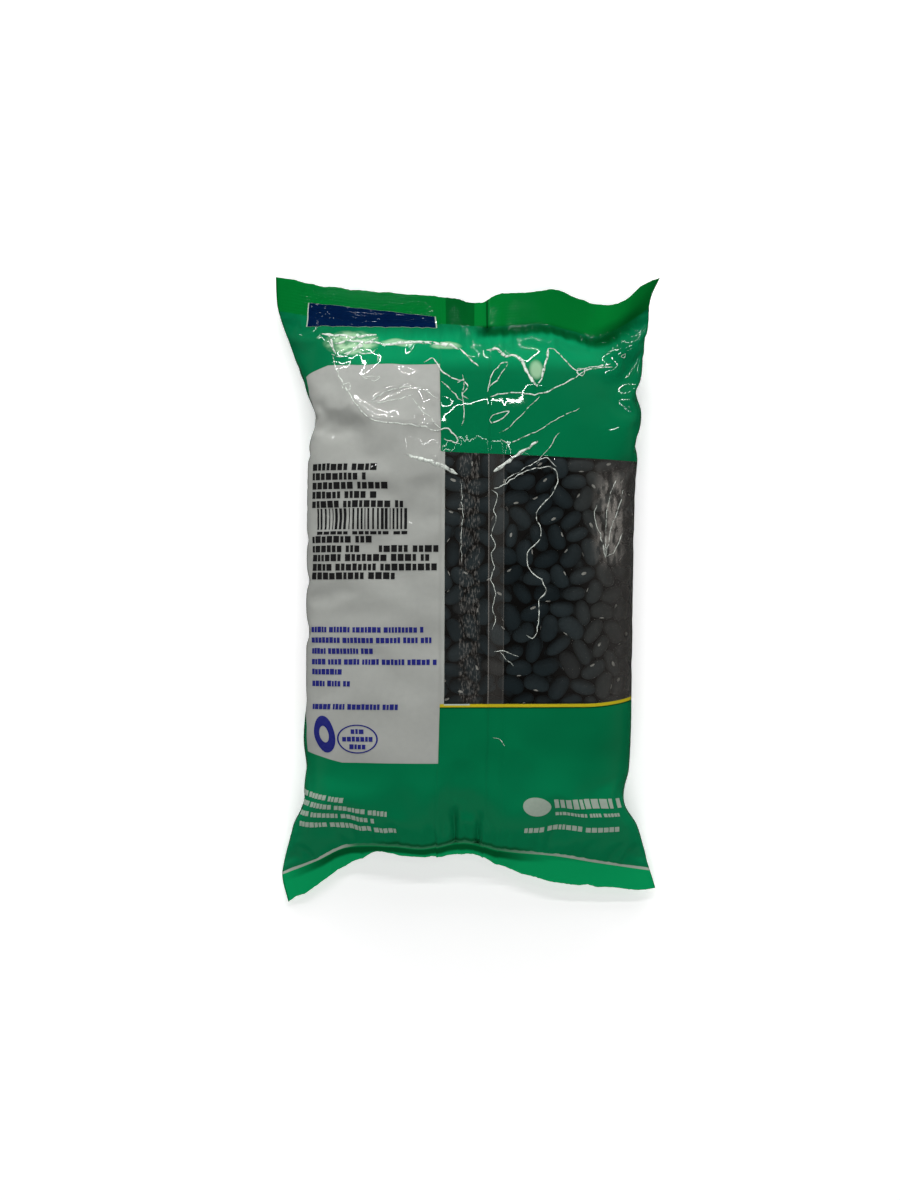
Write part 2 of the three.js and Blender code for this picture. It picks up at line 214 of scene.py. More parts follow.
# Creases of the upper film, as [height, width, points seen from above]
CREASES = [
    [1.5, 4.5, [(-51.7, 88.9), (-47.3, 78.2), (-44.5, 74.3), (-35.7, 65.6), (-22.1, 63.7), (-9.5, 60.8)]],
    [0.8, 3, [(-37.6, 71.9), (-30.8, 77.3), (-22.1, 78.7), (-13.4, 76.3), (-4, 71)]],
    [1.1, 4.5, [(-52, 80), (-56, 72), (-57.5, 62)]],
    [0.7, 3, [(-25, 76), (-19, 68), (-4, 58)]],
    [0.8, 3, [(-53.2, 99.6), (-41.5, 94.7), (-29.9, 95.7), (-18.2, 96.2), (-2.7, 92.8), (5.5, 86)]],
    [0.7, 2.6, [(8, 92.8), (12.8, 92.8), (18.6, 88.9), (21.5, 88), (25.4, 78.2), (28.4, 78.2), (32.2, 93.8)]],
    [0.6, 2.6, [(32.2, 93.8), (36.1, 90.9), (42.9, 85), (48.7, 86), (58.4, 87.4)]],
    [0.3, 2, [(36.6, 61.3), (29.3, 51.1), (14, 45)]],
    [0.3, 2.4, [
        (12, 46), (22, 52), (31, 50), (34.2, 48.2), (35.6, 45.2), (34.2, 39.4), (27.8, 30.7),
        (28.8, 24.9), (24, 14.2), (26.4, 6.4), (31.2, -1), (27.8, -4.8), (28.4, -15.5), (25.4, -20),
    ]],
    [0.5, 2, [(60, 42), (53, 30), (57, 22), (50, 12), (55, -2)]],
    [0.4, 2, [(48, 32), (53, 30), (62, 26)]],
    [0.5, 4.5, [(-60, 30), (-48, 24), (-30, 27), (-16, 22)]],
    [0.4, 4.5, [(-58, 0), (-40, -6), (-20, -2)]],
    [0.3, 2.4, [(14, -58), (22, -62), (26, -70)]],
    [0.7, 4, [(-50, -72), (-56, -88)]],
    [0.7, 4, [(50, -76), (57, -92)]],
    [-2.1, 3.2, [(-56, 60.5), (-50, 59.2), (-38, 61.5)]],
    [1.3, 3.6, [(-57, 70), (-48, 68.5), (-40, 73)]],
]
CREASE_ROUND = 0.6
CREASE_TAPER = (-0.1, 6)

# How a fold fades in from its start, and from which share of its length it fades out
FOLD_START = (-6, 4)
FOLD_FADE = 0.6
FOLD_END = 4

# Painted highlights: white strips along sharp folds of the clear outer film that catch the light, as [width,
# points seen from above]
GLINT_LINES = [
    [0.53, [
        (-51.5, 90), (-50.4, 86.1), (-48.2, 80.9), (-46.7, 77.5), (-44.4, 74.2), (-42.4, 70.8),
        (-38.6, 66.5), (-34.3, 63.9), (-25.7, 62.9), (-18.1, 61.8), (-11.4, 60.3), (-6.6, 60.3),
        (-3.2, 56.5), (-4.2, 55.3), (-8.5, 57),
    ]],
    [0.37, [(-37.1, 71.1), (-32.3, 74.5), (-27.6, 76.1), (-21.8, 77.3), (-16.1, 76.2), (-10.4, 72.1)]],
    [0.28, [(-37.1, 71.1), (-30.4, 71.4), (-23.3, 73.1), (-19.9, 74.5)]],
    [0.34, [(-20.4, 73), (-18, 69.2), (-14.2, 65.3), (-9.4, 60.1)]],
    [0.46, [(-16.2, 86.9), (-12.8, 88.4), (-8.5, 82.9), (-2.8, 80), (0.1, 80.5)]],
    [0.37, [(-9.4, 79.4), (-4.2, 74.1), (-1.3, 71.7)]],
    [0.4, [(7.8, 75.2), (9.7, 81.9), (13.5, 86.2), (15.9, 86.7), (15, 84.3), (11.6, 80), (8.7, 76.7)]],
    [0.4, [(8.9, 64.2), (10.6, 66.3), (16.3, 67.7), (14.4, 65.2), (9.8, 63), (8.9, 64.2)]],
    [0.46, [
        (8.7, 73.1), (16.3, 75.1), (27.8, 74.4), (34.5, 77), (41.2, 80.8), (44, 83.2), (48.8, 84.8),
        (56.5, 86),
    ]],
    [0.31, [(28.2, 73.4), (23.9, 69.2), (16.3, 61.5), (12.5, 59.2)]],
    [0.34, [(43.4, 69.1), (37.2, 66.2), (29.6, 61.5), (23.9, 58.6), (16.3, 55.7), (12.9, 56.7)]],
    [0.28, [(35.7, 60), (31.5, 53.8), (28.6, 50), (26.7, 47.1)]],
    [0.34, [(14.3, 39.9), (16.2, 42.3), (21, 45.2), (25.7, 48), (30, 49.9), (34.3, 46.1)]],
    [0.4, [
        (10.5, 38), (15.2, 39.9), (20, 43.2), (25.7, 45.6), (30.4, 46.5), (33.7, 45.1), (34.7, 41.3),
        (33.3, 37.5), (30.4, 33.7), (27.1, 29.9), (26.6, 27.1), (28.5, 22.3), (28, 19.5), (23.8, 14.8),
        (22.8, 10.5), (24.3, 7.2), (27.6, 4.3), (30.4, -0.4), (27.6, -4.6), (27.6, -10.4), (27.1, -15.1),
        (25.2, -19), (22.8, -17.5),
    ]],
    [0.28, [
        (9.5, 37.5), (11.9, 35.6), (10, 29.9), (11.4, 27.1), (9.5, 21.4), (11, 16.6), (9.5, 12.9),
        (10.5, 8.1), (9.5, 4.3), (11, -1.4), (10, -6.6), (11, -11.3), (10, -15.6),
    ]],
    [1.35, [
        (-44, 92.5), (-38, 95.2), (-34.5, 94.9), (-28.7, 94.4), (-22, 95.3), (-14.3, 94.9),
        (-8.5, 94), (-2.7, 92.5),
    ]],
    [0.62, [(-2.7, 92.5), (0.2, 89.6), (5, 85.3)]],
    [1.15, [(7.8, 91.7), (12.1, 92.2), (14.5, 89.8), (18.8, 89.8), (21.2, 87.9), (24.1, 81.2), (27, 77.1)]],
    [1, [(27, 77.1), (29.4, 82.1), (31.8, 92.7)]],
    [0.53, [(31.8, 92.7), (34.2, 92.2), (37.5, 88.8), (42.3, 84), (45.2, 85), (56, 87)]],
    [1.7, [(-23.7, 51.3), (-13.2, 48), (-3.3, 43.7)]],
    [1.5, [(10.5, 44.3), (18.6, 50.5), (27.2, 56.2)]],
    [0.3, [(10.5, -23.6), (13.1, -23.4), (16.5, -24.2), (19.9, -25.5)]],
    [0.25, [(12.9, -23.8), (14.9, -26.6), (17.9, -29.3)]],
    [0.31, [(10.1, -56.3), (13, -57.2), (14.6, -59.6)]],
    [0.46, [(-47.8, 78.2), (-44.9, 79), (-44.4, 76.3), (-46.8, 76.3), (-47.8, 78.2)]],
    [0.46, [(42.8, 84.9), (45.4, 84.7), (44.7, 82.2), (42.3, 83), (42.8, 84.9)]],
    [0.25, [(-40.3, 81.6), (-33.4, 81.3), (-35.3, 80), (-39.6, 81), (-40.3, 81.6)]],
    [0.25, [(59.5, 90.3), (61.9, 91.3), (61.4, 89.5), (59.5, 90.3)]],
    [0.25, [(53, 12), (51.6, 19), (48.9, 27), (49.5, 32)]],
    [0.25, [(53, 12), (55, 22), (58, 30), (60, 38)]],
    [0.2, [(53, 12), (53.4, 24), (54.5, 34), (57.5, 43)]],
    [0.2, [(53, 12), (57.5, 15.5), (60, 22)]],
    [0.4, [(-1.6, 82), (-0.6, 78), (-1.3, 73), (-0.8, 68), (-1.4, 62)]],
    [0.22, [(-1.8, 40), (-1.4, 30), (-1.9, 20), (-1.5, 10)]],
    [0.55, [(-3.4, 79), (-1, 79.6), (0.6, 77.4), (-1.8, 74.2), (0.8, 72.4)]],
    [1, [(-56.4, 99), (-51.1, 98.5), (-44.3, 97.7), (-34.6, 98.5)]],
    [0.6, [(-53.3, 96.6), (-51.7, 93.7), (-50.2, 90.5)]],
    [1.1, [(-50.8, 95.1), (-44.2, 96.1), (-37.5, 95.1)]],
    [0.9, [(-47.1, 90.8), (-42.3, 92.7), (-37.9, 95.1), (-34.4, 97.6)]],
    [0.6, [(-41.8, 91.6), (-37.9, 91), (-34, 92.1)]],
    [0.5, [(-51.9, 90.7), (-47.1, 89.7), (-44.2, 92.1)]],
    [0.5, [(-33.7, 91), (-33.9, 87.3)]],
    [0.9, [(-53.7, 98.9), (-51.8, 95.3), (-50.8, 91.4)]],
]
GLINT_STEP = 0.35
GLINT_WANDER = 0.2
GLINT_EVERY = 5
GLINT_LIFT = 0.09
GLINT_SEED = 23
GLINT_UNEVEN = (0.45, 1.15)
GLINT_TIP = 2.5
GLINT_THINNEST = 0.05
DROP_FROM = 200

# Beans
BEAN_LENGTH = 10.4
BEAN_WIDTH = 6.9
BEAN_THICKNESS = 5.5
BALL_RADIUS = 3.0
BALL_OFFSET = 2.2
BEAN_SEED = 7
BEAN_PITCH = (9.4, 7.0)
LAYER_DEPTHS = (3.6, 9.0)
SEED_GAP = 5.4
PACK_STEPS = 90
SEED_WANDER = 1.5
DEPTH_WANDER = 0.5
SIZE_SPREAD = (0.05, 0.88, 1.12)
SHAPE_SPREAD = (0.045, 0.9, 1.1)
SEED_ALONG = (WINDOW_LOW - 7, WINDOW_HIGH + 9)
SEED_STARTS = (SEAM_LEFT - 10, -HALF_WIDTH + 2)
SEED_END = HALF_WIDTH - 1
AXIS_TILT = 0.22
ASIDE = (0.3, 1.0, 0.2)
NEIGHBOUR_STEPS = 12
NEIGHBOUR_REACH = 13.5
PUSH_SHARE = 0.6
TURN_SHARE = 0.7
PACK_CLEARANCE = 0.7
FILM_CLEARANCE = 0.12
PULL_FROM = 0.1
PULL_MOST = 0.25
PULL_SHARE = 0.3
BEAN_RINGS = 10
BEAN_SPOKES = 12
BEAN_BLUNT = 0.92
BEAN_TAPER = 0.05
BEAN_BEND = 0.55
BEAN_SHIFT = 0.25
HOLLOW_LENGTH = 2.2
HOLLOW_DEPTH = 0.35
HOLLOW_SIDE = (0.3, 1)
# Beans paler and greyer towards the right of the window: where it starts, how much, and the tone it reaches
GREYING_FROM = (30, 58)
GREYING_SHARE = 0.8
GREYED_TONE = 2.2
EYE_LENGTH = 2.5
EYE_WIDTH = 1.2
EYE_SPOKES = 8
EYE_RINGS = ((1, 0.35), (0.8, -0.04), (0.45, -0.12))
EYE_TOP = -0.14
EYE_FOOT = 0.35
EYE_SHIFT = 0.2

# The dark middle of the heap, which stands for the inner beans and is darker than them as painted shade: how
# deep it lies behind the beans of the window and behind the print
CORE_DEPTH = 9.0
CORE_COVER = 2.5
CORE_REACH = 0.84
CORE_BUMP = 0.6
CORE_LENGTH = 0.47
CORE_ROWS = 5
CORE_COLUMNS = 4
CORE_LEAST = 1.0
CORE_HALF = 0.5
CORE_WINDOW = (WINDOW_LOW - 14, WINDOW_LOW - 6, WINDOW_HIGH + 6, WINDOW_HIGH + 14)
CORE_SEAM = (SEAM_LEFT - 14, SEAM_LEFT - 6)

# Painted highlights on the upper band: a pale crinkled patch and soft glows, as [u, v, half width, half
# height]
HIGHLIGHT_PATCH = (-45, 95.2, 11.5, 5.6)
GLOWS = [(-27, 95, 8, 1.7), (-9, 93.2, 6.5, 1.6), (25.3, 84, 3, 4.5)]
OVAL_EDGE = (0.6, 0.4)
HIGHLIGHT_PATCH_SHARE = 0.6
HIGHLIGHT_PATCH_LEAST = 0.2
GLOW_SHARE = 0.5

# Patches of painted light and painted shade on the print, and of painted reflection on the clear film, as
# (measure along, (from, to, softness), (from, to, softness) across, share)
# Painted light: a lit band of the green just below the top seal
LIT_BAND = ("v", (86, 99, 4), (-46, 54, 8), 0.75)
# Painted shade below the top seal, along the fold above the bottom seal and on the bottom seal under it
FOLD_SHADES = (
    ("high", (-4.2, 0, 1.5), (4, 62, 5), 0.85), ("low", (0.8, 2, 0.7), (-34, 24, 6), 0.7),
    ("low", (-3.4, -0.3, 0.8), (-64, 24, 12), 0.85),
)
# Painted shade at the right end of the top seal
CORNER_SHADE = ("high", (-3, 3, 2.5), (52, 70, 5), 0.7)
CRUMPLED = ("v", (12, 42, 7), (49.5, 60, 3.5), 1)
# Painted light: the lower band lighter towards the bottom seal
LOW_LIT = (-68, 10)
LOW_LIT_SHARE = 0.4
SEAL_EDGE = (0, 0.3)

# Noises of the film, as (cycles a metre, detail, stretch), and the levels where they start to show
CLOUD = (28, 3)
SPECK = (420, 2)
PANEL_CLOUD = (60, 4)
CRINKLE = (330, 5, (0.8, 1.5, 1))
CRINKLE_EDGE = (0.5, 0.12)
STREAK = (2200, 2, (1, 0.25, 1))
STREAK_EDGE = (0.57, 0.08)
RUFFLE = (520, 4, (1, 0.35, 1))
RUFFLE_EDGE = (0.5, 0.1)
HAZE = (45, 4)
HAZE_EDGE = (0.55, 0.15)

# Unevenness of surfaces, as (noise, height in metres, strength)
WAVES = ((90, 2), 0.0006, 0.12)
GRAIN = ((260, 2), 0.0002, 0.08)
BEAN_GRAIN = ((1200, 2), 0.00015, 0.3)

# How milky the clear film is, and how much painted reflection it has at its steep sides and where it is
# crumpled
CLEAR_VEIL = 0.006
HAZE_VEIL = 0.01
SEAM_VEIL = 0.006
HEM_VEIL = 0.035
WELD_VEIL = 0.13
WELD_SOFT = 0.3
# Painted reflection where the film turns steeply down at the sides, more on the right
SIDE_REFLECTION = 0.035
RIGHT_REFLECTION = 0.02
# Painted reflection of the crumpled film at the window's right
RUFFLE_REFLECTION = 0.3
CRUMPLE_REFLECTION = 0.015
BOTH_SIDES = (56, 16)
RIGHT_SIDE = (46, 12)
FOLD_VEILS = ((SEAM_RIGHT - 0.3, SEAM_RIGHT + 0.1, 0.22), (HEM_RIGHT - 0.1, HEM_RIGHT + 0.2, 0.1))

# Gloss of the film over its print, which the seals and the hollow below the top one lack
UNDER_FILM = {"Roughness": 0.5, "Specular_IOR_Level": 0, "Coat_Roughness": 0.025, "Coat_IOR": 1.36}
COAT_LOSS = 0.92
HOLLOW = (-5.5, 0, 2)
HOLLOW_FROM = (2, 3)
FILM_IOR = 1.55
GLOSS_ROUGH = 0.03

# Colours as light values
GREEN_DARK = (0.0008, 0.128, 0.046)
GREEN_LIGHT = (0.0014, 0.172, 0.064)
# Painted light: the lighter green of the lit patches
GREEN_LIT = (0.003, 0.30, 0.115)
GREEN_SEAL = (0.001, 0.155, 0.024)
# Painted light: the bottom seal's green, far lighter than the top seal's, as the seal faces the lamps
LIT_GREEN_LOW_SEAL = (0.004, 0.40, 0.13)
# Dark green of the seam's lap on the top seal, also used for the painted shade
GREEN_LAP_AND_SHADE = (0.0005, 0.055, 0.010)
# Pale colour of the painted highlights on the green
HIGHLIGHT_PALE = (0.55, 0.80, 0.52)
PANEL_DARK = (0.340, 0.350, 0.328)
PANEL_LIGHT = (0.425, 0.436, 0.408)
YELLOW = (0.52, 0.42, 0.016)
PALE = (0.45, 0.52, 0.44)
BLACK_INK = (0.006, 0.006, 0.007)
BLUE_INK = (0.012, 0.014, 0.16)
NAVY_INK = (0.0005, 0.006, 0.036)
BEAN_DARK = (0.018, 0.033, 0.040)
BEAN_PALE = (0.062, 0.086, 0.094)
BEAN_BROWN = (0.062, 0.048, 0.042)
BEAN_GREYED = (0.105, 0.104, 0.094)
# Whites of the painted highlight strips
GLINT_PALE = (0.80, 0.88, 0.79)
GLINT_WHITE = (0.92, 0.97, 0.91)
EYE_COLOURS = ((0.62, 0.60, 0.52), (0.85, 0.84, 0.78))
# Near-black of the heap's middle, darker than the beans: painted shade
CORE_SHADE_COLOURS = ((0.002, 0.002, 0.003), (0.008, 0.009, 0.010))
FLOOR_COLOURS = ((0.90, 0.90, 0.90), (0.92, 0.92, 0.92))
CLEAR = (0.93, 0.94, 0.94, 1)
# Brownish white of the milky film and of its painted reflections
MILK_AND_REFLECTION = (0.60, 0.56, 0.51, 1)
WHITE = (1, 1, 1, 1)

# Looks of the small pieces: noises, shares of the beans' colours, and the strength of the painted highlight
# strips
MOTTLE = (700, 3)
MOTTLE_SHARE = 0.5
BROWN_TONES = (0.92, 1, 0.02)
BROWN_SHARE = 0.7
GREYED_TONES = (1.35, 0.5)
GREYED_COLOUR_SHARE = 0.7
ROUGH_SPREAD = 0.2
BEAN_ROUGH = 0.48
BEAN_IOR = 1.45
BEAN_SHINE = 0.25
EYE_GRAIN = (1500, 2)
CORE_GRAIN = (160, 3)
FLOOR_GRAIN = (3, 2)
INK_GRAIN = (900, 3)
GLINT_GRAIN = (400, 2)
GLINT_BREAKS = (650, 3)
GLINT_BREAK_EDGE = (0.43, 0.14)
GLINT_SHARE = 0.85

# Rows of print, as [from, to, along], with a lean for the pale ones
BLACK_ROWS = [
    [-63.4, -35.8, 46.6], [-63.4, -40, 43], [-63.4, -31.5, 39.5], [-63.4, -36, 36],
    [-63.4, -25.5, 32.5], [-63.2, -37.7, 19.1], [-63.2, -42.6, 15.5], [-34.9, -11.8, 15.5],
    [-63.2, -15.3, 12.1], [-63.2, -12.4, 8.5], [-63.2, -28.6, 5.2],
]
BLACK_HEIGHT = 2.7
BLACK_PITCH = 2.55
BLUE_ROWS = [
    [-63.2, -17.5, -15.4], [-63.2, -14.4, -19.4], [-63.2, -37.2, -23.6], [-63.2, -12.4, -27.7],
    [-63, -49.8, -31.5], [-62.8, -46.2, -36], [-62.4, -27, -44.8],
]
BLUE_HEIGHT = 2.2
BLUE_PITCH = 1.65
PALE_ROWS = [
    [-71, -45.4, -77.6, -0.12], [-69.6, -28.9, -81.4, -0.11], [-67.1, -33.7, -85.7, -0.09],
    [-63.4, -26, -90.4, -0.07],
]
PALE_HEIGHT = 2.0
PALE_PITCH = 1.7

# The barcode, as (left, foot, right, head), and the row below it, as (distance, height, pitch)
BARCODE = (-60.7, 22.8, -23.8, 30.8)
MODULE = 0.375
MODULES = (1, 4)
DIGITS = (1.3, 1.3, 2.6)

# How a row is filled: blocks in a word, and shares of the row's pitch and height
WORD_LENGTHS = (4, 10)
BLOCK_WIDTHS = (0.45, 1)
BLOCK_HEIGHTS = (0.9, 1)
BLOCK_GAP = 0.2
WORD_GAP = 0.5
CELL = 0.6

# The plate by the top seal: its corners from the top left clockwise
PLATE = ((-61.1, 111.9), (-13.4, 105.9), (-12.9, 101.3), (-62.8, 102.5))
PLATE_CELL = 0.3
KEYLINE = 0.45

# Ovals, as (u, v, half width, half height, turn), and the holes in them
DISC = (-56.2, -55.4, 4.5, 7.2, 0.25)
OVAL = (-42.7, -57.1, 8.1, 5.5, 0)
MARK_OVAL = (26.7, -82.9, 5.3, 3.7, 0)
DISC_HOLE = 0.45
OVAL_LINE = 0.92
DISC_MIDDLE = 0.004

# Rows in the oval, as (half length, height over its middle), and beside the mark, as
# [from, to, along, height, pitch]
OVAL_ROWS = ((2.5, 2.9), (6, 0), (3.2, -2.9))
OVAL_HEIGHT = 1.9
OVAL_PITCH = 1.6
MARK_ROWS = [
    [33.5, 62.5, -81.9, 4, 3], [33.4, 59.5, -86.5, 1.4, 1.6], [22, 57.8, -92.3, 2, 1.9],
]
INK_LIFT = 0.11
PLATE_LIFT = 0.2
PRINT_SEED = 12

# Inks, as (colour, worn colour, gloss of the film over them)
INKS = {
    "print_black": (BLACK_INK, (0.02, 0.02, 0.02), 0.3),
    "print_blue": (BLUE_INK, (0.03, 0.035, 0.20), 0.3),
    "print_navy": (NAVY_INK, (0.001, 0.012, 0.05), 0.1),
    "print_pale": (PALE, (0.34, 0.44, 0.36), 0.5),
}

# How far the lower side lies from the upper one in the film's UV map
UNDER_SHIFT = 200.0

# Camera over the middle of the photograph, looking straight down, in metres
CAMERA_PLACE = (-0.0062, -0.0039, 0.92)
CAMERA_LENS = 69.95
SENSOR = 36.0

# Lights, as (name, place, size, power, mirrored in the gloss), which all face one place
LIGHTS = (
    ("fill", (-0.05, 1.05, 0.62), (1.2, 0.5), 6, False),
    ("front_fill", (0, -0.5, 1), (0.6, 0.6), 4.4, False),
    ("low_tube", (-0.1, 1.05, 0.45), (1, 0.008), 4, True),
    ("back_tube", (0, 0.75, 0.95), (1, 0.007), 4, True),
    ("top_tube", (0.1, 0.42, 1.1), (0.8, 0.004), 0.5, True),
    ("glare", (-0.46, 0.95, 0.28), (0.16, 0.05), 0.45, True),
)
LIT_PLACE = (0, 0, 0.015)

# The sky gets darker upwards and below the horizon
SKY_RAMPS = (
    {"interpolation_type": "SMOOTHSTEP", "From_Min": 0.25, "From_Max": 0.8, "To_Min": 0.12, "To_Max": 0.01},
    {"From_Min": -0.1, "From_Max": 0.15, "To_Min": 0.2},
)
FLOOR_SIZE = 6
FLOOR_DROP = -0.0003
FLOOR_GLOW = 0.45

# Film mesh
SEAL_ROWS = 32
BODY_ROWS = 212
SEAL_RIB = 0.035
SEAL_RIBS = 11
RIB_FADE = (0.02, 0.1, 0.9, 1)

# Unevenness of the cut ends: (coarse, columns apart, fine)
RAGGED = (0.22, 4, 0.06)
RAGGED_SEED = 3
WELD_SEED = 5

# The dip below the top seal, as (depth, distance, width), and where it lies across
VALLEY = (1.5, 2.6, 1.5)
VALLEY_ACROSS = (-0.12, 0.1, 0.8, 0.95)

# Dents beside the stiff back seam where it meets the seals, as [u, v0, v1, depth, width]
DENTS = [
    [-3.8, -98, -81, 4, 1.3], [5.2, -100, -84, 4, 1.2], [7.4, 102, 88, 2.4, 1.7],
    [-13.5, -98, -88, 1, 2.4], [-2, 102, 93, 0.9, 1.8],
]
DENT_FADE = (-0.1, 0.15, 0.35, 1)


def smoothstep(x, low, high):
    t = np.clip((x - low) / (high - low), 0, 1)
    return t * t * (3 - 2 * t)


def plateau(x, start, full, fading, end):
    return smoothstep(x, start, full) * (1 - smoothstep(x, fading, end))


def unit(vectors):
    return vectors / np.maximum(np.linalg.norm(vectors, axis=-1, keepdims=True), 1e-9)


def through(points, at):
    """Smooth curve through [position, value] points: cubic Hermite with centred slopes."""
    xs, ys = np.array(points, float).T
    last = len(xs) - 1
    p = np.clip(at, xs[0], xs[last])
    i = np.clip(np.searchsorted(xs, p) - 1, 0, last - 1)
    before = np.maximum(np.arange(last + 1) - 1, 0)
    after = np.minimum(np.arange(last + 1) + 1, last)
    slope = (ys[after] - ys[before]) / (xs[after] - xs[before])
    h = xs[i + 1] - xs[i]
    u = (p - xs[i]) / h
    rise = u * u * (3 - 2 * u)
    start = u * (1 - u) * (1 - u) * h * slope[i]
    end = u * u * (u - 1) * h * slope[i + 1]
    return ys[i] + (ys[i + 1] - ys[i]) * rise + start + end


def section(share):
    """Quarter superellipse of the filled section at shares of its arc length: across and up, 0..1."""
    angle = np.linspace(0, math.pi / 2, SECTION_STEPS + 1)
    across = np.sin(angle) ** (2 / SECTION_POWER)
    up = np.clip(np.cos(angle), 0, 1) ** (2 / SECTION_POWER)
    steps = np.hypot(np.diff(across) * SECTION_HALF_WIDTH, np.diff(up) * (CROWN_HEIGHT - SIDE_HEIGHT))
    length = np.concatenate([[0], np.cumsum(steps)])
    at = share * length[-1]
    return np.interp(at, length, across), np.interp(at, length, up)


def between_lines(lines, s, part, share):
    """Value at each row and place across: part 0 is the bottom seal, 1 the body and 2 the top seal."""
    values = np.array([through(line, s) for line in lines])
    low = values[part]
    return low + (values[part + 1] - low) * share[:, None]


def row_line(s, part, share):
    return between_lines((BOTTOM_OUTER, BOTTOM_INNER, TOP_INNER, TOP_OUTER), s, part, share)


def middle_height(s, part, share):
    lines = (BOTTOM_OUTER_Z, BOTTOM_INNER_Z, TOP_INNER_Z, TOP_OUTER_Z)
    height = between_lines(lines, s, part, share)
    ends = np.where(share[:, None] < 0.5, through(BOTTOM_INNER_Z, s), through(TOP_INNER_Z, s))
    away = smoothstep(1 - np.abs(2 * share - 1), 0, END_REACH)[:, None]
    body = ends + (SIDE_HEIGHT - ends) * away
    return np.maximum(np.where(part[:, None] == 1, body, height), FLOOR_GAP)


def shoulder(distance, length, power, root):
    left = 1 - np.clip(distance / length, 0, 1)
    return (1 - left ** power) ** root


def fullness(s, part, share):
    """How full the section is above and below the middle, 0 in the seals."""
    y = row_line(s, part, share)
    low = y - through(BOTTOM_INNER, s)
    high = through(TOP_INNER, s) - y
    body = (part == 1)[:, None]
    above = shoulder(low, *BOTTOM_SHOULDER) * shoulder(high, *TOP_SHOULDER)
    below = shoulder(low, *UNDER_SHOULDER) * shoulder(high, *UNDER_SHOULDER)
    return above * body, below * body


def film_points(s, part, share, side):
    """The smooth film at each row and place across, on the upper (1) or the lower (-1) side."""
    ends = np.array([-1.0, 1.0])
    end_y = row_line(ends, part, share)
    left = through(LEFT_EDGE, end_y[:, :1])
    right = through(RIGHT_EDGE, end_y[:, 1:])
    centre = through(CENTRE_LINE, end_y.mean(1)[:, None])
    above, below = fullness(s, part, share)
    across, up = section(np.abs(s))
    spread = smoothstep(above, 0, FULL_SPREAD)
    reach = np.sign(s) * (np.abs(s) + (across - np.abs(s)) * spread)
    x = left + (right - left) * (1 + reach) / 2
    x = x + (centre - (left + right) / 2) * (1 - reach ** 2)
    y = row_line(s, part, share)
    middle = middle_height(s, part, share)
    rim = RIM * (1 - (1 - SIDE_RIM_SHARE) * smoothstep(np.abs(s), SIDE_RIM_START, 1))
    if side > 0:
        z = middle + rim + (CROWN_HEIGHT - SIDE_HEIGHT) * above * up
    else:
        z = np.maximum(middle - rim - UNDER_DEPTH * below * up, 0)
    return np.stack([x, y, z], -1)


def loop_points(cells, part, share):
    """The film round the whole tube: the upper side from left to right, then the lower side back."""
    s = np.linspace(-1, 1, cells + 1)
    upper = film_points(s, part, share, 1)
    lower = film_points(s, part, share, -1)
    return np.concatenate([upper, lower[:, -2:0:-1]], 1)


def loop_normals(points):
    across = np.roll(points, -1, 1) - np.roll(points, 1, 1)
    along = np.gradient(points, axis=0)
    return unit(np.cross(across, along))


def weights(at, count, wrap):
    """Catmull-Rom weights that read a line of samples at places between them."""
    i = np.floor(at).astype(int)
    f = at - i
    parts = [
        ((2 - f) * f - 1) * f / 2,
        ((3 * f - 5) * f * f + 2) / 2,
        ((4 - 3 * f) * f + 1) * f / 2,
        (f - 1) * f * f / 2,
    ]
    table = np.zeros((len(at), count))
    for k, part in enumerate(parts):
        j = i + k - 1
        j = j % count if wrap else np.clip(j, 0, count - 1)
        np.add.at(table, (np.arange(len(at)), j), part)
    return table


def resample(field, rows_at, columns_at):
    """A field over the loop, read at other rows and columns."""
    by_row = np.tensordot(weights(rows_at, field.shape[0], False), field, (1, 0))
    return np.swapaxes(np.tensordot(weights(columns_at, field.shape[1], True), by_row, (1, 1)), 0, 1)


def resized(field, rows, columns):
    return resample(
        field,
        np.linspace(0, field.shape[0] - 1, rows),
        np.arange(columns) * field.shape[1] / columns,
    )


def soft_noise(random, rows, columns, coarse_rows, coarse_columns):
    return resized(random.standard_normal((coarse_rows, coarse_columns)), rows, columns)


def fold_height(x, y):
    height = np.zeros_like(x)
    for x0, y0, x1, y1, high, wide in FOLDS:
        length = math.hypot(x1 - x0, y1 - y0)
        along = ((x - x0) * (x1 - x0) + (y - y0) * (y1 - y0)) / length
        aside = ((x - x0) * (y1 - y0) - (y - y0) * (x1 - x0)) / length
        fade = plateau(along, *FOLD_START, length * FOLD_FADE, length + FOLD_END)
        height += high * fade * np.exp(-((aside / wide) ** 2))
    return height


def crease_height(x, y):
    """Ridges along the creases, round on top, which taper at both ends."""
    total = np.zeros_like(x)
    for height, width, points in CREASES:
        nearest = np.full(x.shape, np.inf)
        place = np.zeros_like(x)
        walked = 0.0
        for (x0, y0), (x1, y1) in zip(points, points[1:]):
            length = math.hypot(x1 - x0, y1 - y0)
            along = ((x - x0) * (x1 - x0) + (y - y0) * (y1 - y0)) / length
            along = np.clip(along, 0, length)
            apart = np.hypot(x - x0 - along * (x1 - x0) / length, y - y0 - along * (y1 - y0) / length)
            closer = apart < nearest
            nearest = np.where(closer, apart, nearest)
            place = np.where(closer, walked + along, place)
            walked += length
        fade = smoothstep(np.minimum(place, walked - place), *CREASE_TAPER)
        rounded = np.sqrt(nearest ** 2 + CREASE_ROUND ** 2) - CREASE_ROUND
        total += height * fade * np.exp(-rounded / width)
    return total


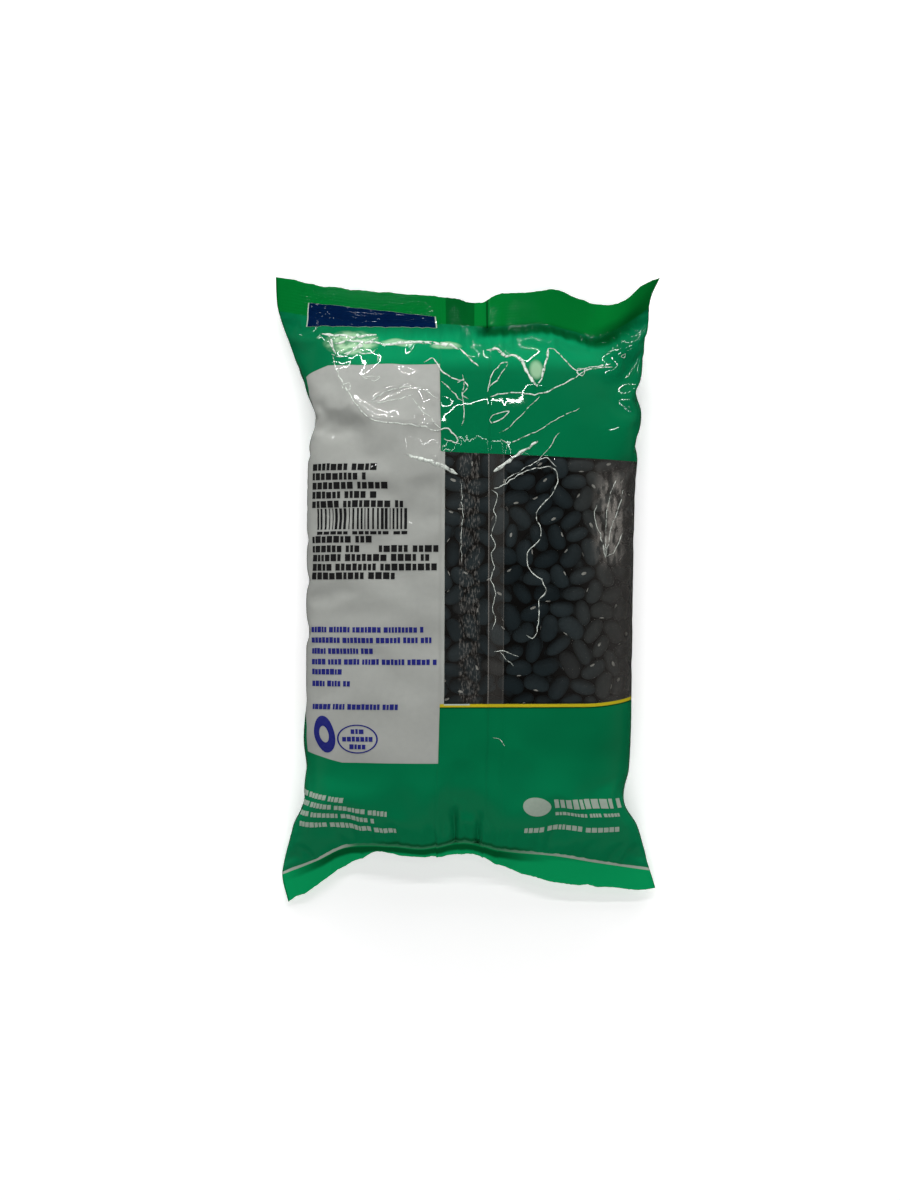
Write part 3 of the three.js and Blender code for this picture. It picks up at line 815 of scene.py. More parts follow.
def pull(a, b, rest, stiffness):
    """Moves two grids of points so that each pair comes nearer to its rest length."""
    gap = b - a
    length = np.sqrt(np.einsum("...k,...k->...", gap, gap))
    share = stiffness * 0.5 * (length - rest) / np.maximum(length, 1e-6)
    move = gap * share[..., None]
    a += move
    b -= move


def pull_across(points, rest, stiffness):
    pull(points[:, 0::2], points[:, 1::2], rest[:, 0::2], stiffness)
    turned = np.roll(points, -1, 1)
    pull(turned[:, 0::2], turned[:, 1::2], rest[:, 1::2], stiffness)
    points[:] = np.roll(turned, 1, 1)


def pull_along(points, rest, stiffness):
    for first in (0, 1):
        low = points[first:-1:2]
        high = points[first + 1::2]
        pull(low[:len(high)], high, rest[first::2][:len(high)], stiffness)


def pull_slant(points, rest, stiffness, turn):
    """The diagonals of the cells, which keep the film from shearing."""
    for first in (0, 1):
        high = np.roll(points[first + 1::2], -turn, 1)
        low = points[first:-1:2][:len(high)]
        pull(low, high, rest[first::2][:len(high)], stiffness)
        points[first + 1::2] = np.roll(high, turn, 1)


def bend_back(offset, stiffness):
    """Eases sharp bends out of the film's offset from its smooth shape."""
    def curve(field):
        out = np.roll(field, 1, 1) + np.roll(field, -1, 1) - 4 * field
        out[1:] += field[:-1]
        out[:-1] += field[1:]
        out[0] += field[0]
        out[-1] += field[-1]
        return out

    offset -= stiffness * curve(curve(offset))


def distances(points, turn_across, along):
    other = np.roll(points, -turn_across, 1)
    if along:
        return np.linalg.norm(other[1:] - points[:-1], axis=-1)
    return np.linalg.norm(other - points, axis=-1)


def settle_film():
    """Wrinkles the film: it is a little longer than the smooth surface, which it can't leave far."""
    random = np.random.default_rng(WRINKLE_SEED)
    offset = None
    for cells, rows, steps in LEVELS:
        share = np.linspace(0, 1, rows)
        part = np.ones(rows, int)
        base = loop_points(cells, part, share)
        columns = base.shape[1]
        normal = loop_normals(base)
        s = np.linspace(-1, 1, cells + 1)
        s = np.concatenate([s, s[-2:0:-1]])
        upper = np.arange(columns) <= cells
        y = base[..., 1]
        from_top = through(TOP_INNER, s) - y
        from_bottom = y - through(BOTTOM_INNER, s)
        from_side = np.broadcast_to((1 - np.abs(s)) * HALF_WIDTH, y.shape)
        at_ends = SLACK_TOP * np.exp(-from_top / SEAL_REACH)
        at_ends += SLACK_BOTTOM * np.exp(-from_bottom / SEAL_REACH)
        at_sides = SLACK_SIDE * np.exp(-from_side / SIDE_REACH)
        crumple = UPPER_EXTRA * smoothstep(y, *CRUMPLE_REACH) * upper
        slack_across = 1 + SLACK_ALL + at_ends + crumple
        slack_along = 1 + SLACK_ALL + at_sides + crumple
        rest_across = distances(base, 1, False) * slack_across
        rest_along = distances(base, 0, True) * slack_along[1:]
        slant = 1 + (slack_across + slack_along - 2)[1:] / 2
        rest_right = distances(base, 1, True) * slant
        rest_left = distances(base, -1, True) * slant
        from_end = np.minimum(from_top, from_bottom)
        free = smoothstep(from_end, 0, FREE_FROM)[..., None]
        if offset is None:
            height, *grid = FIRST_NOISE
            offset = normal * (height * soft_noise(random, rows, columns, *grid))[..., None]
            offset += normal * (fold_height(base[..., 0], y) * upper)[..., None]
        else:
            offset = resized(offset, rows, columns)
            offset += normal * (LEVEL_NOISE * random.standard_normal((rows, columns)))[..., None]
        offset *= free
        held = smoothstep(from_end, FREE_FROM, HELD_FROM)
        lowest = LOWEST[0] + LOWEST[1] * held
        inwards = SIDE_SHARE + (1 - SIDE_SHARE) * smoothstep(from_side, 0, SIDE_HELD)
        highest = (HIGHEST[0] + HIGHEST[1] * held) * inwards
        for _ in range(steps):
            points = base + offset
            pull_across(points, rest_across, CELL_STIFFNESS)
            pull_along(points, rest_along, CELL_STIFFNESS)
            pull_slant(points, rest_right, SLANT_STIFFNESS, 1)
            pull_slant(points, rest_left, SLANT_STIFFNESS, -1)
            offset = points - base
            bend_back(offset, BEND_STIFFNESS)
            out = np.einsum("...k,...k->...", offset, normal)
            aside = offset - normal * out[..., None]
            reach = np.linalg.norm(aside, axis=-1, keepdims=True)
            aside *= np.minimum(1, SLIDE_LIMIT / np.maximum(reach, 1e-6))
            out = np.clip(out, lowest, highest)
            offset = aside + normal * out[..., None]
            offset[..., 2] = np.maximum(offset[..., 2], -base[..., 2])
            offset[0] = 0
            offset[-1] = 0
    return offset


class Film:
    """The finished film in millimetres: its upper and its lower side, each in rows and columns of points."""

    def __init__(self, wrinkles):
        self.s = self.column_places()
        self.part, self.share = self.row_places()
        body = self.part == 1
        cells = wrinkles.shape[1] // 2
        rows_at = self.share[body] * (wrinkles.shape[0] - 1)
        self.y = row_line(self.s, self.part, self.share)
        taut = self.tautness()[body][..., None]
        self.sides = []
        for side in (1, -1):
            points = film_points(self.s, self.part, self.share, side)
            at = (self.s + 1) / 2 * cells
            columns_at = at if side > 0 else (2 * cells - at) % (2 * cells)
            points[body] += resample(wrinkles, rows_at, columns_at) * (1 - taut)
            self.sides.append(points)
        edges = (self.sides[0][:, [0, -1]] + self.sides[1][:, [0, -1]]) / 2
        for points in self.sides:
            points[:, [0, -1]] = edges
        self.sink_valley()
        self.press_dents()
        self.lower_by(-crease_height(*self.sides[0][..., :2].transpose(2, 0, 1)))
        self.rough_ends()
        both = np.concatenate([p.reshape(-1, 3) for p in self.sides])
        middle = (both.min(0) + both.max(0)) / 2
        self.shift = np.array([middle[0], middle[1], 0])
        for points in self.sides:
            points -= self.shift

    def tautness(self):
        """How far the film is stretched smooth, less over the lower band and the panel."""
        u = self.s * HALF_WIDTH
        right = smoothstep(u, *TAUT_SEAM)
        total = smoothstep(self.y, *TAUT_CORNER[1:]) * TAUT_CORNER[0] * (1 - right)
        for (share, *places), across in (
            (TAUT_WINDOW, right), (TAUT_BAND, 1), (TAUT_TOP, right * (1 - smoothstep(u, *TAUT_SIDE))),
            (TAUT_PANEL, 1 - right),
        ):
            total = total + share * plateau(self.y, *places) * across
        return total

    def lower_by(self, depth):
        """Lowers the upper side between the seals."""
        self.sides[0][..., 2] -= depth * (self.part == 1)[:, None]

    def sink_valley(self):
        """The film dips just below the top seal, right of the back seam, before it swells."""
        depth, middle, width = VALLEY
        below_seal = through(TOP_INNER, self.s) - self.y
        dip = depth * plateau(self.s, *VALLEY_ACROSS) * np.exp(-(((below_seal - middle) / width) ** 2))
        self.lower_by(dip)

    def press_dents(self):
        u = self.s[None] * HALF_WIDTH
        for place, first, last, depth, width in DENTS:
            fade = plateau((self.y - first) / (last - first), *DENT_FADE)
            self.lower_by(depth * fade * np.exp(-(((u - place) / width) ** 2)))

    def column_places(self):
        runs = []
        start = -HALF_WIDTH
        for end, cells in COLUMN_RUNS:
            runs.append(np.linspace(start, end, cells + 1)[:-1])
            start = end
        return np.concatenate([*runs, [HALF_WIDTH]]) / HALF_WIDTH

    def row_places(self):
        seal = np.linspace(0, 1, SEAL_ROWS + 1)
        body = np.linspace(0, 1, BODY_ROWS + 1)[1:-1]
        part = np.concatenate([np.zeros(SEAL_ROWS, int), np.ones(BODY_ROWS + 1, int), np.full(SEAL_ROWS, 2)])
        share = np.concatenate([seal[:-1], [0], body, [1], seal[1:]])
        return part, share

    def rough_ends(self):
        """The cut ends are a little ragged, and fine ribs run along each seal."""
        random = np.random.default_rng(RAGGED_SEED)
        count = len(self.s)
        coarse, every, fine = RAGGED
        for part, outer in ((0, 0), (2, -1)):
            heights = random.normal(0, coarse, (count + every - 1) // every)
            ragged = np.interp(np.arange(count), np.arange(0, count, every), heights)
            ragged += random.normal(0, fine, count)
            seal = self.part == part
            share = self.share[seal]
            away = (1 - share if part == 0 else share)[:, None]
            rib = SEAL_RIB * np.sin(away * SEAL_RIBS * math.tau) * plateau(away, *RIB_FADE)
            for points in self.sides:
                points[seal, :, 1] += ragged * away * np.sign(points[outer, 0, 1])
                points[seal, :, 2] += rib

    def normals(self, side):
        points = self.sides[side]
        across = np.gradient(points, axis=1)
        along = np.gradient(points, axis=0)
        return unit(np.cross(across, along) * (1 if side == 0 else -1))

    def raise_seam(self):
        """The lap of the back seam and its ribbed weld stand up from the upper side."""
        u = self.s * HALF_WIDTH
        lap = plateau(u, SEAM_LEFT - SEAM_EDGE, SEAM_LEFT, SEAM_RIGHT, SEAM_RIGHT + SEAM_EDGE)
        hem = plateau(u, SEAM_RIGHT, SEAM_RIGHT + SEAM_EDGE, HEM_RIGHT, HEM_RIGHT + SEAM_EDGE)
        weld = plateau(u, WELD_LEFT - WELD_EDGE, WELD_LEFT, WELD_RIGHT, WELD_RIGHT + WELD_EDGE)
        random = np.random.default_rng(WELD_SEED)
        dots = random.normal(0, 1, self.y.shape)
        dots[1:] = (1 - WELD_JOIN) * dots[1:] + WELD_JOIN * dots[:-1]
        rise = SEAM_STEP * lap + HEM_STEP * hem + WELD_RIB * weld * dots
        self.sides[0] += self.normals(0) * rise[..., None]

    def place(self, u, v):
        """Fractional row and column of the upper side at film millimetres across and along."""
        s = np.asarray(u, float) / HALF_WIDTH
        column = np.interp(s, self.s, np.arange(len(self.s)))
        lines = [through(line, s) for line in (BOTTOM_OUTER, BOTTOM_INNER, TOP_INNER, TOP_OUTER)]
        starts = (0, SEAL_ROWS, SEAL_ROWS + BODY_ROWS)
        counts = (SEAL_ROWS, BODY_ROWS, SEAL_ROWS)
        row = np.zeros_like(s)
        for low, high, start, count in zip(lines, lines[1:], starts, counts):
            share = np.clip((v - low) / (high - low), 0, 1)
            row = np.where(v >= low, start + share * count, row)
        return row, column

    def on_film(self, u, v, lift):
        """Points at a height over the upper side."""
        row, column = self.place(u, v)
        r = np.clip(np.floor(row).astype(int), 0, len(self.part) - 2)
        c = np.clip(np.floor(column).astype(int), 0, len(self.s) - 2)
        fr = (row - r)[..., None]
        fc = (column - c)[..., None]
        out = []
        for field in (self.sides[0], self.upper_normals):
            low = field[r, c] * (1 - fc) + field[r, c + 1] * fc
            high = field[r + 1, c] * (1 - fc) + field[r + 1, c + 1] * fc
            out.append(low * (1 - fr) + high * fr)
        return out[0] + out[1] * lift


def turned_axes(axis, normal, roll):
    """Rotation matrices for beans: long axis, width and thickness as columns, rolled about the long axis."""
    thick = unit(normal - axis * np.einsum("ij,ij->i", normal, axis)[:, None])
    wide = np.cross(thick, axis)
    cos, sin = np.cos(roll)[:, None], np.sin(roll)[:, None]
    return np.stack([axis, wide * cos + thick * sin, thick * cos - wide * sin], -1)


def spread_about_one(random, shape, spread):
    wide, least, most = spread
    return random.normal(1, wide, shape).clip(least, most)


def bean_seeds(film, random):
    """Starting places of the beans, in two layers under the film of the window, with the film's normals."""
    places, normals, layers = [], [], []
    wide, high = BEAN_PITCH
    for side in (0, 1):
        points = film.sides[side]
        normal = film.normals(side)
        for layer, depth in enumerate(LAYER_DEPTHS):
            for row, v in enumerate(np.arange(*SEED_ALONG, high)):
                for u in np.arange(SEED_STARTS[side] + row % 2 * wide / 2, SEED_END, wide):
                    astray = random.uniform(-SEED_WANDER, SEED_WANDER, 2)
                    r, c = (int(np.rint(at)) for at in film.place(u + astray[0], v + astray[1]))
                    deep = depth + random.uniform(-DEPTH_WANDER, DEPTH_WANDER)
                    places.append(points[r, c] - normal[r, c] * deep)
                    normals.append(normal[r, c])
                    layers.append(layer)
    places, normals, layers = np.array(places), np.array(normals), np.array(layers)
    kept = []
    for i in range(len(places)):
        others = places[kept]
        if not kept or np.min(np.linalg.norm(others - places[i], axis=1)) > SEED_GAP:
            kept.append(i)
    return places[kept], normals[kept], layers[kept]


def pack_beans(film):
    """Pushes chains of three balls apart and inside the film, with the outer ones against it."""
    random = np.random.default_rng(BEAN_SEED)
    centre, normal, layer = bean_seeds(film, random)
    count = len(centre)
    size = spread_about_one(random, count, SIZE_SPREAD)
    angle = random.uniform(0, math.tau, count)
    side = unit(np.cross(normal, ASIDE))
    axis = side * np.cos(angle)[:, None] + np.cross(normal, side) * np.sin(angle)[:, None]
    axis = unit(axis + normal * random.normal(0, AXIS_TILT, count)[:, None])
    skin = film_tree(film)
    reach = np.array([-BALL_OFFSET, 0, BALL_OFFSET])
    radius = BALL_RADIUS * size
    for step in range(PACK_STEPS):
        if step % NEIGHBOUR_STEPS == 0:
            apart = np.linalg.norm(centre[:, None] - centre[None], axis=-1)
            first, second = np.nonzero(np.triu(apart < NEIGHBOUR_REACH, 1))
            limit = (radius[first] + radius[second])[:, None, None]
        balls = centre[:, None] + axis[:, None] * (reach[None, :, None] * size[:, None, None])
        move = np.zeros_like(balls)
        gap = balls[first][:, :, None] - balls[second][:, None]
        length = np.maximum(np.linalg.norm(gap, axis=-1), 1e-6)
        push = gap * (0.5 * np.maximum(limit - length, 0) / length)[..., None]
        np.add.at(move, first, push.sum(2) * PUSH_SHARE)
        np.add.at(move, second, -push.sum(1) * PUSH_SHARE)
        if step % 2 == 0:
            for i in range(count):
                for k in range(3):
                    out, depth = nearest_film(balls[i, k], skin)
                    short = radius[i] + PACK_CLEARANCE - depth
                    if short > 0:
                        move[i, k] -= np.array(out) * short
                    elif layer[i] == 0 and short < -PULL_FROM:
                        move[i, k] += np.array(out) * min(PULL_MOST, -short * PULL_SHARE)
        centre += move.mean(1)
        turn = (move * reach[None, :, None]).sum(1) / (reach ** 2).sum()
        axis = unit(axis + turn * TURN_SHARE)
    roll = random.uniform(0, math.tau, count)
    return centre, turned_axes(axis, normal, roll), size


def kept_inside(points, count, skin):
    """Each bean's points, moved in together where one of them would touch the film."""
    beans = points.reshape(count, -1, 3)
    for bean in beans:
        for _ in range(3):
            worst, way = 0.0, None
            for point in bean:
                out, depth = nearest_film(point, skin)
                if FILM_CLEARANCE - depth > worst:
                    worst, way = FILM_CLEARANCE - depth, out
            if way is None:
                break
            bean -= np.array(way) * worst
    return beans.reshape(-1, 3)


def nearest_film(point, skin):
    """The way out through the nearest film, and how deep a point lies behind it."""
    place, out, _, _ = skin.find_nearest(Vector(point))
    return out, (place - Vector(point)).dot(out)


def film_tree(film, step=3):
    """The film's two sides as one searchable surface, on a grid as coarse as asked for."""
    verts, faces = [], []
    for side, points in enumerate(film.sides):
        rows = np.arange(0, points.shape[0], step)
        columns = np.arange(0, points.shape[1], step)
        coarse = points[rows][:, columns]
        first = len(verts)
        verts.extend(map(tuple, coarse.reshape(-1, 3)))
        wide = len(columns)
        for r in range(len(rows) - 1):
            for c in range(wide - 1):
                quad = [first + r * wide + c, first + r * wide + c + 1]
                quad += [quad[1] + wide, quad[0] + wide]
                faces.append(quad if side == 0 else quad[::-1])
    return BVHTree.FromPolygons(verts, faces)


def bean_template():
    """One bean along X, its eye on the hollow side towards -Y, and the faces that join its points."""
    rings, spokes = BEAN_RINGS, BEAN_SPOKES
    points = [(-1.0, 0.0, 0.0)]
    for i in range(1, rings):
        lat = math.pi * i / rings
        for k in range(spokes):
            lon = math.tau * k / spokes
            out = math.sin(lat)
            points.append((-math.cos(lat), out * math.cos(lon), out * math.sin(lon)))
    points.append((1.0, 0.0, 0.0))
    faces = []
    for k in range(spokes):
        after = (k + 1) % spokes
        faces.append((0, 1 + after, 1 + k))
        for i in range(rings - 2):
            a, b = 1 + i * spokes, 1 + (i + 1) * spokes
            faces.append((a + k, a + after, b + after, b + k))
        last = 1 + (rings - 2) * spokes
        faces.append((last + k, last + after, len(points) - 1))
    p = np.array(points)
    blunt = np.sign(p) * np.abs(p) ** BEAN_BLUNT
    x = blunt[:, 0] * BEAN_LENGTH / 2
    y = blunt[:, 1] * BEAN_WIDTH / 2
    z = blunt[:, 2] * BEAN_THICKNESS / 2
    y = y * (1 - BEAN_TAPER * p[:, 0]) - BEAN_BEND * p[:, 0] ** 2 + BEAN_SHIFT
    hollow = np.exp(-((x / HOLLOW_LENGTH) ** 2)) * smoothstep(-p[:, 1], *HOLLOW_SIDE)
    y = y + HOLLOW_DEPTH * hollow
    return np.stack([x, y, z], 1), faces


def eye_template():
    """The white eye: a low oval cushion on the bean's hollow side."""
    points = []
    for grow, height in EYE_RINGS:
        for k in range(EYE_SPOKES):
            turn = math.tau * k / EYE_SPOKES
            x = EYE_LENGTH / 2 * grow * math.cos(turn)
            points.append((x, height, EYE_WIDTH / 2 * grow * math.sin(turn)))
    points.append((0, EYE_TOP, 0))
    points.append((0, EYE_FOOT, 0))
    faces = []
    for k in range(EYE_SPOKES):
        after = (k + 1) % EYE_SPOKES
        for ring in range(2):
            a, b = ring * EYE_SPOKES, (ring + 1) * EYE_SPOKES
            faces.append((a + k, b + k, b + after, a + after))
        faces.append((2 * EYE_SPOKES + k, 3 * EYE_SPOKES, 2 * EYE_SPOKES + after))
        faces.append((k, after, 3 * EYE_SPOKES + 1))
    p = np.array(points)
    p[:, 1] += -BEAN_WIDTH / 2 + BEAN_SHIFT + HOLLOW_DEPTH
    p[:, 0] += EYE_SHIFT
    return p, faces


def scattered(template, faces, centre, turn, stretch):
    """Copies of a template at each place, as one list of points and one of faces."""
    shape = template[None] * stretch[:, None, :]
    points = np.einsum("nij,nvj->nvi", turn, shape) + centre[:, None]
    count = len(template)
    joined = [tuple(i * count + v for v in face) for i in range(len(centre)) for face in faces]
    return points.reshape(-1, 3), joined


def mesh_piece(name, points, faces, material, smooth=True):
    mesh = bpy.data.meshes.new(name)
    mesh.from_pydata((np.asarray(points) * MM).tolist(), [], faces)
    mesh.validate()
    mesh.polygons.foreach_set("use_smooth", [smooth] * len(mesh.polygons))
    mesh.update()
    mesh.materials.append(material)
    piece = bpy.data.objects.new(name, mesh)
    bpy.context.scene.collection.objects.link(piece)
    return piece


def film_piece(film):
    """The film as one closed mesh, with a UV map in film millimetres and one of distances to the seals."""
    rows, columns = film.part.size, film.s.size
    upper = film.sides[0].reshape(-1, 3)
    lower = film.sides[1][:, 1:-1].reshape(-1, 3)
    wide = columns - 2
    points = np.concatenate([upper, lower])

    def index(side, r, c):
        if side == 0 or c in (0, columns - 1):
            return r * columns + c
        return rows * columns + r * wide + c - 1

    faces = []
    corners = []
    for side in (0, 1):
        for r in range(rows - 1):
            for c in range(columns - 1):
                quad = [(r, c), (r, c + 1), (r + 1, c + 1), (r + 1, c)]
                if side == 1:
                    quad.reverse()
                faces.append([index(side, *q) for q in quad])
                corners.extend((side, *q) for q in quad)
    for r in (0, rows - 1):
        for c in range(columns - 1):
            quad = [(1, r, c), (1, r, c + 1), (0, r, c + 1), (0, r, c)]
            if r:
                quad.reverse()
            face = {}
            for q in quad:
                face.setdefault(index(*q), q)
            faces.append(list(face))
            corners.extend(face.values())
    piece = mesh_piece("film", points, faces, film_material())
    corners = np.array(corners)
    side, r, c = corners.T
    across = film.s[c] * HALF_WIDTH + UNDER_SHIFT * side
    along = film.y[r, c]
    low = along - through(BOTTOM_INNER, film.s[c])
    high = along - through(TOP_INNER, film.s[c])
    for name, first, second in (("film", across, along), ("ends", low, high)):
        layer = piece.data.uv_layers.new(name=name)
        layer.data.foreach_set("uv", np.stack([first, second], 1).astype(np.float32).ravel())
    return piece


def feed(slot, value):
    """Gives an input its value: a field or a socket by a link, anything else as it is."""
    if isinstance(value, Field):
        value = value.socket
    if isinstance(value, bpy.types.NodeSocket):
        slot.id_data.links.new(value, slot)
    else:
        slot.default_value = value


class Field:
    """A number at each place of a material, with arithmetic that makes its nodes."""

    def __init__(self, socket):
        self.socket = socket

    def node(self, kind):
        return self.socket.id_data.nodes.new(kind)

    def math(self, operation, *others):
        node = self.node("ShaderNodeMath")
        node.operation = operation
        for slot, value in zip(node.inputs, (self, *others)):
            feed(slot, value)
        return Field(node.outputs[0])

    def __add__(self, other):
        return self.math("ADD", other)

    def __sub__(self, other):
        return self.math("SUBTRACT", other)

    def __mul__(self, other):
        return self.math("MULTIPLY", other)

    def above(self, level, soft=0.08):
        """0 below a level and 1 above it, with a soft edge."""
        node = self.node("ShaderNodeMapRange")
        node.interpolation_type = "SMOOTHSTEP"
        feed(node.inputs["Value"], self)
        feed(node.inputs["From Min"], level + -soft)
        feed(node.inputs["From Max"], level + soft)
        return Field(node.outputs["Result"])

    def below(self, level, soft=0.08):
        return self.above(level, soft).inverse()

    def between(self, low, high, soft=0.08):
        return self.above(low, soft) * self.below(high, soft)

    def inverse(self):
        return (self * -1.0) + 1.0

    def either(self, other):
        return self.math("MAXIMUM", other)


class Paint:
    """The nodes of a new material or world, and the few moves that all of them are made of."""

    def __init__(self, owner, output="ShaderNodeOutputMaterial"):
        owner.use_nodes = True
        self.owner = owner
        self.tree = owner.node_tree
        self.tree.nodes.clear()
        self.output = self.tree.nodes.new(output)

    def node(self, kind, **values):
        node = self.tree.nodes.new(kind)
        for key, value in values.items():
            if hasattr(node, key):
                setattr(node, key, value)
            else:
                feed(node.inputs[key.replace("_", " ")], value)
        return node

    def uv(self, name):
        node = self.node("ShaderNodeUVMap", uv_map=name)
        split = self.node("ShaderNodeSeparateXYZ", Vector=node.outputs[0])
        return Field(split.outputs[0]), Field(split.outputs[1])

    def noise(self, scale, detail, stretch=None):
        """Noise over the object, in cycles a metre, stretched along an axis where one is given."""
        source = self.node("ShaderNodeTexCoord").outputs["Object"]
        if stretch:
            source = self.node("ShaderNodeMapping", Vector=source, Scale=stretch).outputs["Vector"]
        noise = self.node("ShaderNodeTexNoise", Scale=scale, Detail=detail, Roughness=0.5, Vector=source)
        return Field(noise.outputs["Fac"])

    def mix(self, share, first, second):
        """A colour between two, each a colour or a socket."""
        node = self.node("ShaderNodeMix", data_type="RGBA")
        feed(node.inputs[0], share)
        for slot, value in ((6, first), (7, second)):
            feed(node.inputs[slot], (*value, 1) if isinstance(value, tuple) else value)
        return node.outputs[2]

    def layers(self, colour, *layers):
        """A colour with others laid over it, each as (share, colour)."""
        for share, over in layers:
            colour = self.mix(share, colour, over)
        return colour

    def bump(self, grain, distance, strength, **after):
        """A surface normal, roughened by noise."""
        height = self.noise(*grain)
        node = self.node("ShaderNodeBump", Strength=strength, Distance=distance, Height=height, **after)
        return node.outputs["Normal"]

    def principled(self, **values):
        return self.node("ShaderNodeBsdfPrincipled", **values).outputs[0]

    def blend(self, share, first, second):
        """A shader between two."""
        node = self.node("ShaderNodeMixShader")
        for slot, value in zip(node.inputs, (share, first, second)):
            feed(slot, value)
        return node.outputs[0]

    def finish(self, shader):
        feed(self.output.inputs["Surface"], shader)
        return self.owner


class Places:
    """Where a point of the film is: across and along, past the inner line of each seal, and on which side."""

    def __init__(self, paint):
        across, self.v = paint.uv("film")
        self.low, self.high = paint.uv("ends")
        self.under = across.above(UNDER_SHIFT / 2)
        self.upper = self.under.inverse()
        self.u = across - self.under * UNDER_SHIFT

    def patch(self, measure, along, across, share):
        """A soft-edged field of the upper side, given by a measure along and by places across."""
        return getattr(self, measure).between(*along) * self.u.between(*across) * self.upper * share

    def oval(self, u0, v0, wide, high):
        """1 in the middle of an oval field, fading to 0 at its edge."""
        across = (self.u - u0) * (1 / wide)
        along = (self.v - v0) * (1 / high)
        return (across * across + along * along).below(*OVAL_EDGE)


def panel_field(at):
    """The grey panel left of the seam, which laps on to the window and wraps round the left side."""
    around = at.u * at.upper - (at.u + 2 * HALF_WIDTH) * at.under
    leftward = around * -1.0
    left_edge = at.v.above(*WRAP_FROM) * at.v.below(*WRAP_TO) * -PANEL_WRAP + PANEL_LEFT
    top = (leftward - TOP_CORNER[0]).math("MAXIMUM", 0.0) * TOP_CORNER[1] + PANEL_TOP
    foot = (leftward - LOW_CORNER[0]).math("MAXIMUM", 0.0) * LOW_CORNER[1] + PANEL_BOTTOM
    beside_window = at.v.above(WINDOW_LOW) * at.v.below(WINDOW_HIGH)
    panel = around.below(beside_window * PANEL_LAP + SEAM_LEFT, EDGE) * around.above(left_edge, 2 * EDGE)
    return panel * top.above(at.v) * at.v.above(foot)


def green_print(paint, at, seal_low, seal_high):
    """The green bands: patches of painted light and painted shade, the seals, and painted highlights and
    glows where the film would catch the light.
    """
    on_seal = seal_high * at.upper
    dark = at.u.between(*CREASE_LINE) * on_seal
    for patch in FOLD_SHADES:
        dark = dark.either(at.patch(*patch))
    # Painted highlight: a pale crinkled patch and soft glows beside the highlight strips
    painted_highlight = at.oval(*HIGHLIGHT_PATCH) * (paint.noise(*CRINKLE).above(*CRINKLE_EDGE) * HIGHLIGHT_PATCH_SHARE + HIGHLIGHT_PATCH_LEAST)
    for oval in GLOWS:
        painted_highlight = painted_highlight.either(at.oval(*oval) * GLOW_SHARE)
    return paint.layers(
        paint.mix(paint.noise(*CLOUD), GREEN_DARK, GREEN_LIGHT),
        # Painted light below the top seal and on the lower band
        (at.patch(*LIT_BAND).either(at.v.below(*LOW_LIT) * LOW_LIT_SHARE), GREEN_LIT),
        (seal_high, GREEN_SEAL),
        # The bottom seal, painted lighter than the top one
        (seal_low, LIT_GREEN_LOW_SEAL),
        (at.u.between(*LAP) * on_seal * LAP_SHARE, GREEN_LAP_AND_SHADE),
        # The seam's dark edge line on the top seal and the painted shade of the folds
        (dark, GREEN_LAP_AND_SHADE),
        # Painted shade at the right end of the top seal
        (at.patch(*CORNER_SHADE), GREEN_LAP_AND_SHADE),
        # Painted highlights over the upper band
        (painted_highlight * at.upper, HIGHLIGHT_PALE),
    )


def film_veil(paint, at):
    """How milky the clear film is on the seam and its weld, with painted reflection at the sides and where it
    is crumpled.
    """
    weld = at.u.between(WELD_LEFT, WELD_RIGHT, WELD_SOFT)
    streak = paint.noise(*STREAK).above(*STREAK_EDGE)
    ruffle = paint.noise(*RUFFLE).above(*RUFFLE_EDGE)
    veil = paint.noise(*HAZE).above(*HAZE_EDGE) * HAZE_VEIL + CLEAR_VEIL
    for field, share in (
        (at.u.between(SEAM_LEFT, SEAM_RIGHT, 0.1) * at.upper, SEAM_VEIL),
        (at.u.between(SEAM_RIGHT, HEM_RIGHT, 0.1) * at.upper, HEM_VEIL),
        (weld * at.upper * streak, WELD_VEIL),
        # Painted reflection at both sides, more on the right, and on the crumpled patch
        (at.u.math("ABSOLUTE").above(*BOTH_SIDES), SIDE_REFLECTION),
        (at.u.above(*RIGHT_SIDE) * at.upper, RIGHT_REFLECTION),
        *((at.u.between(low, high) * at.upper, share) for low, high, share in FOLD_VEILS),
        (at.patch(*CRUMPLED), ruffle * RUFFLE_REFLECTION + CRUMPLE_REFLECTION),
    ):
        veil = veil + field * share
    return veil


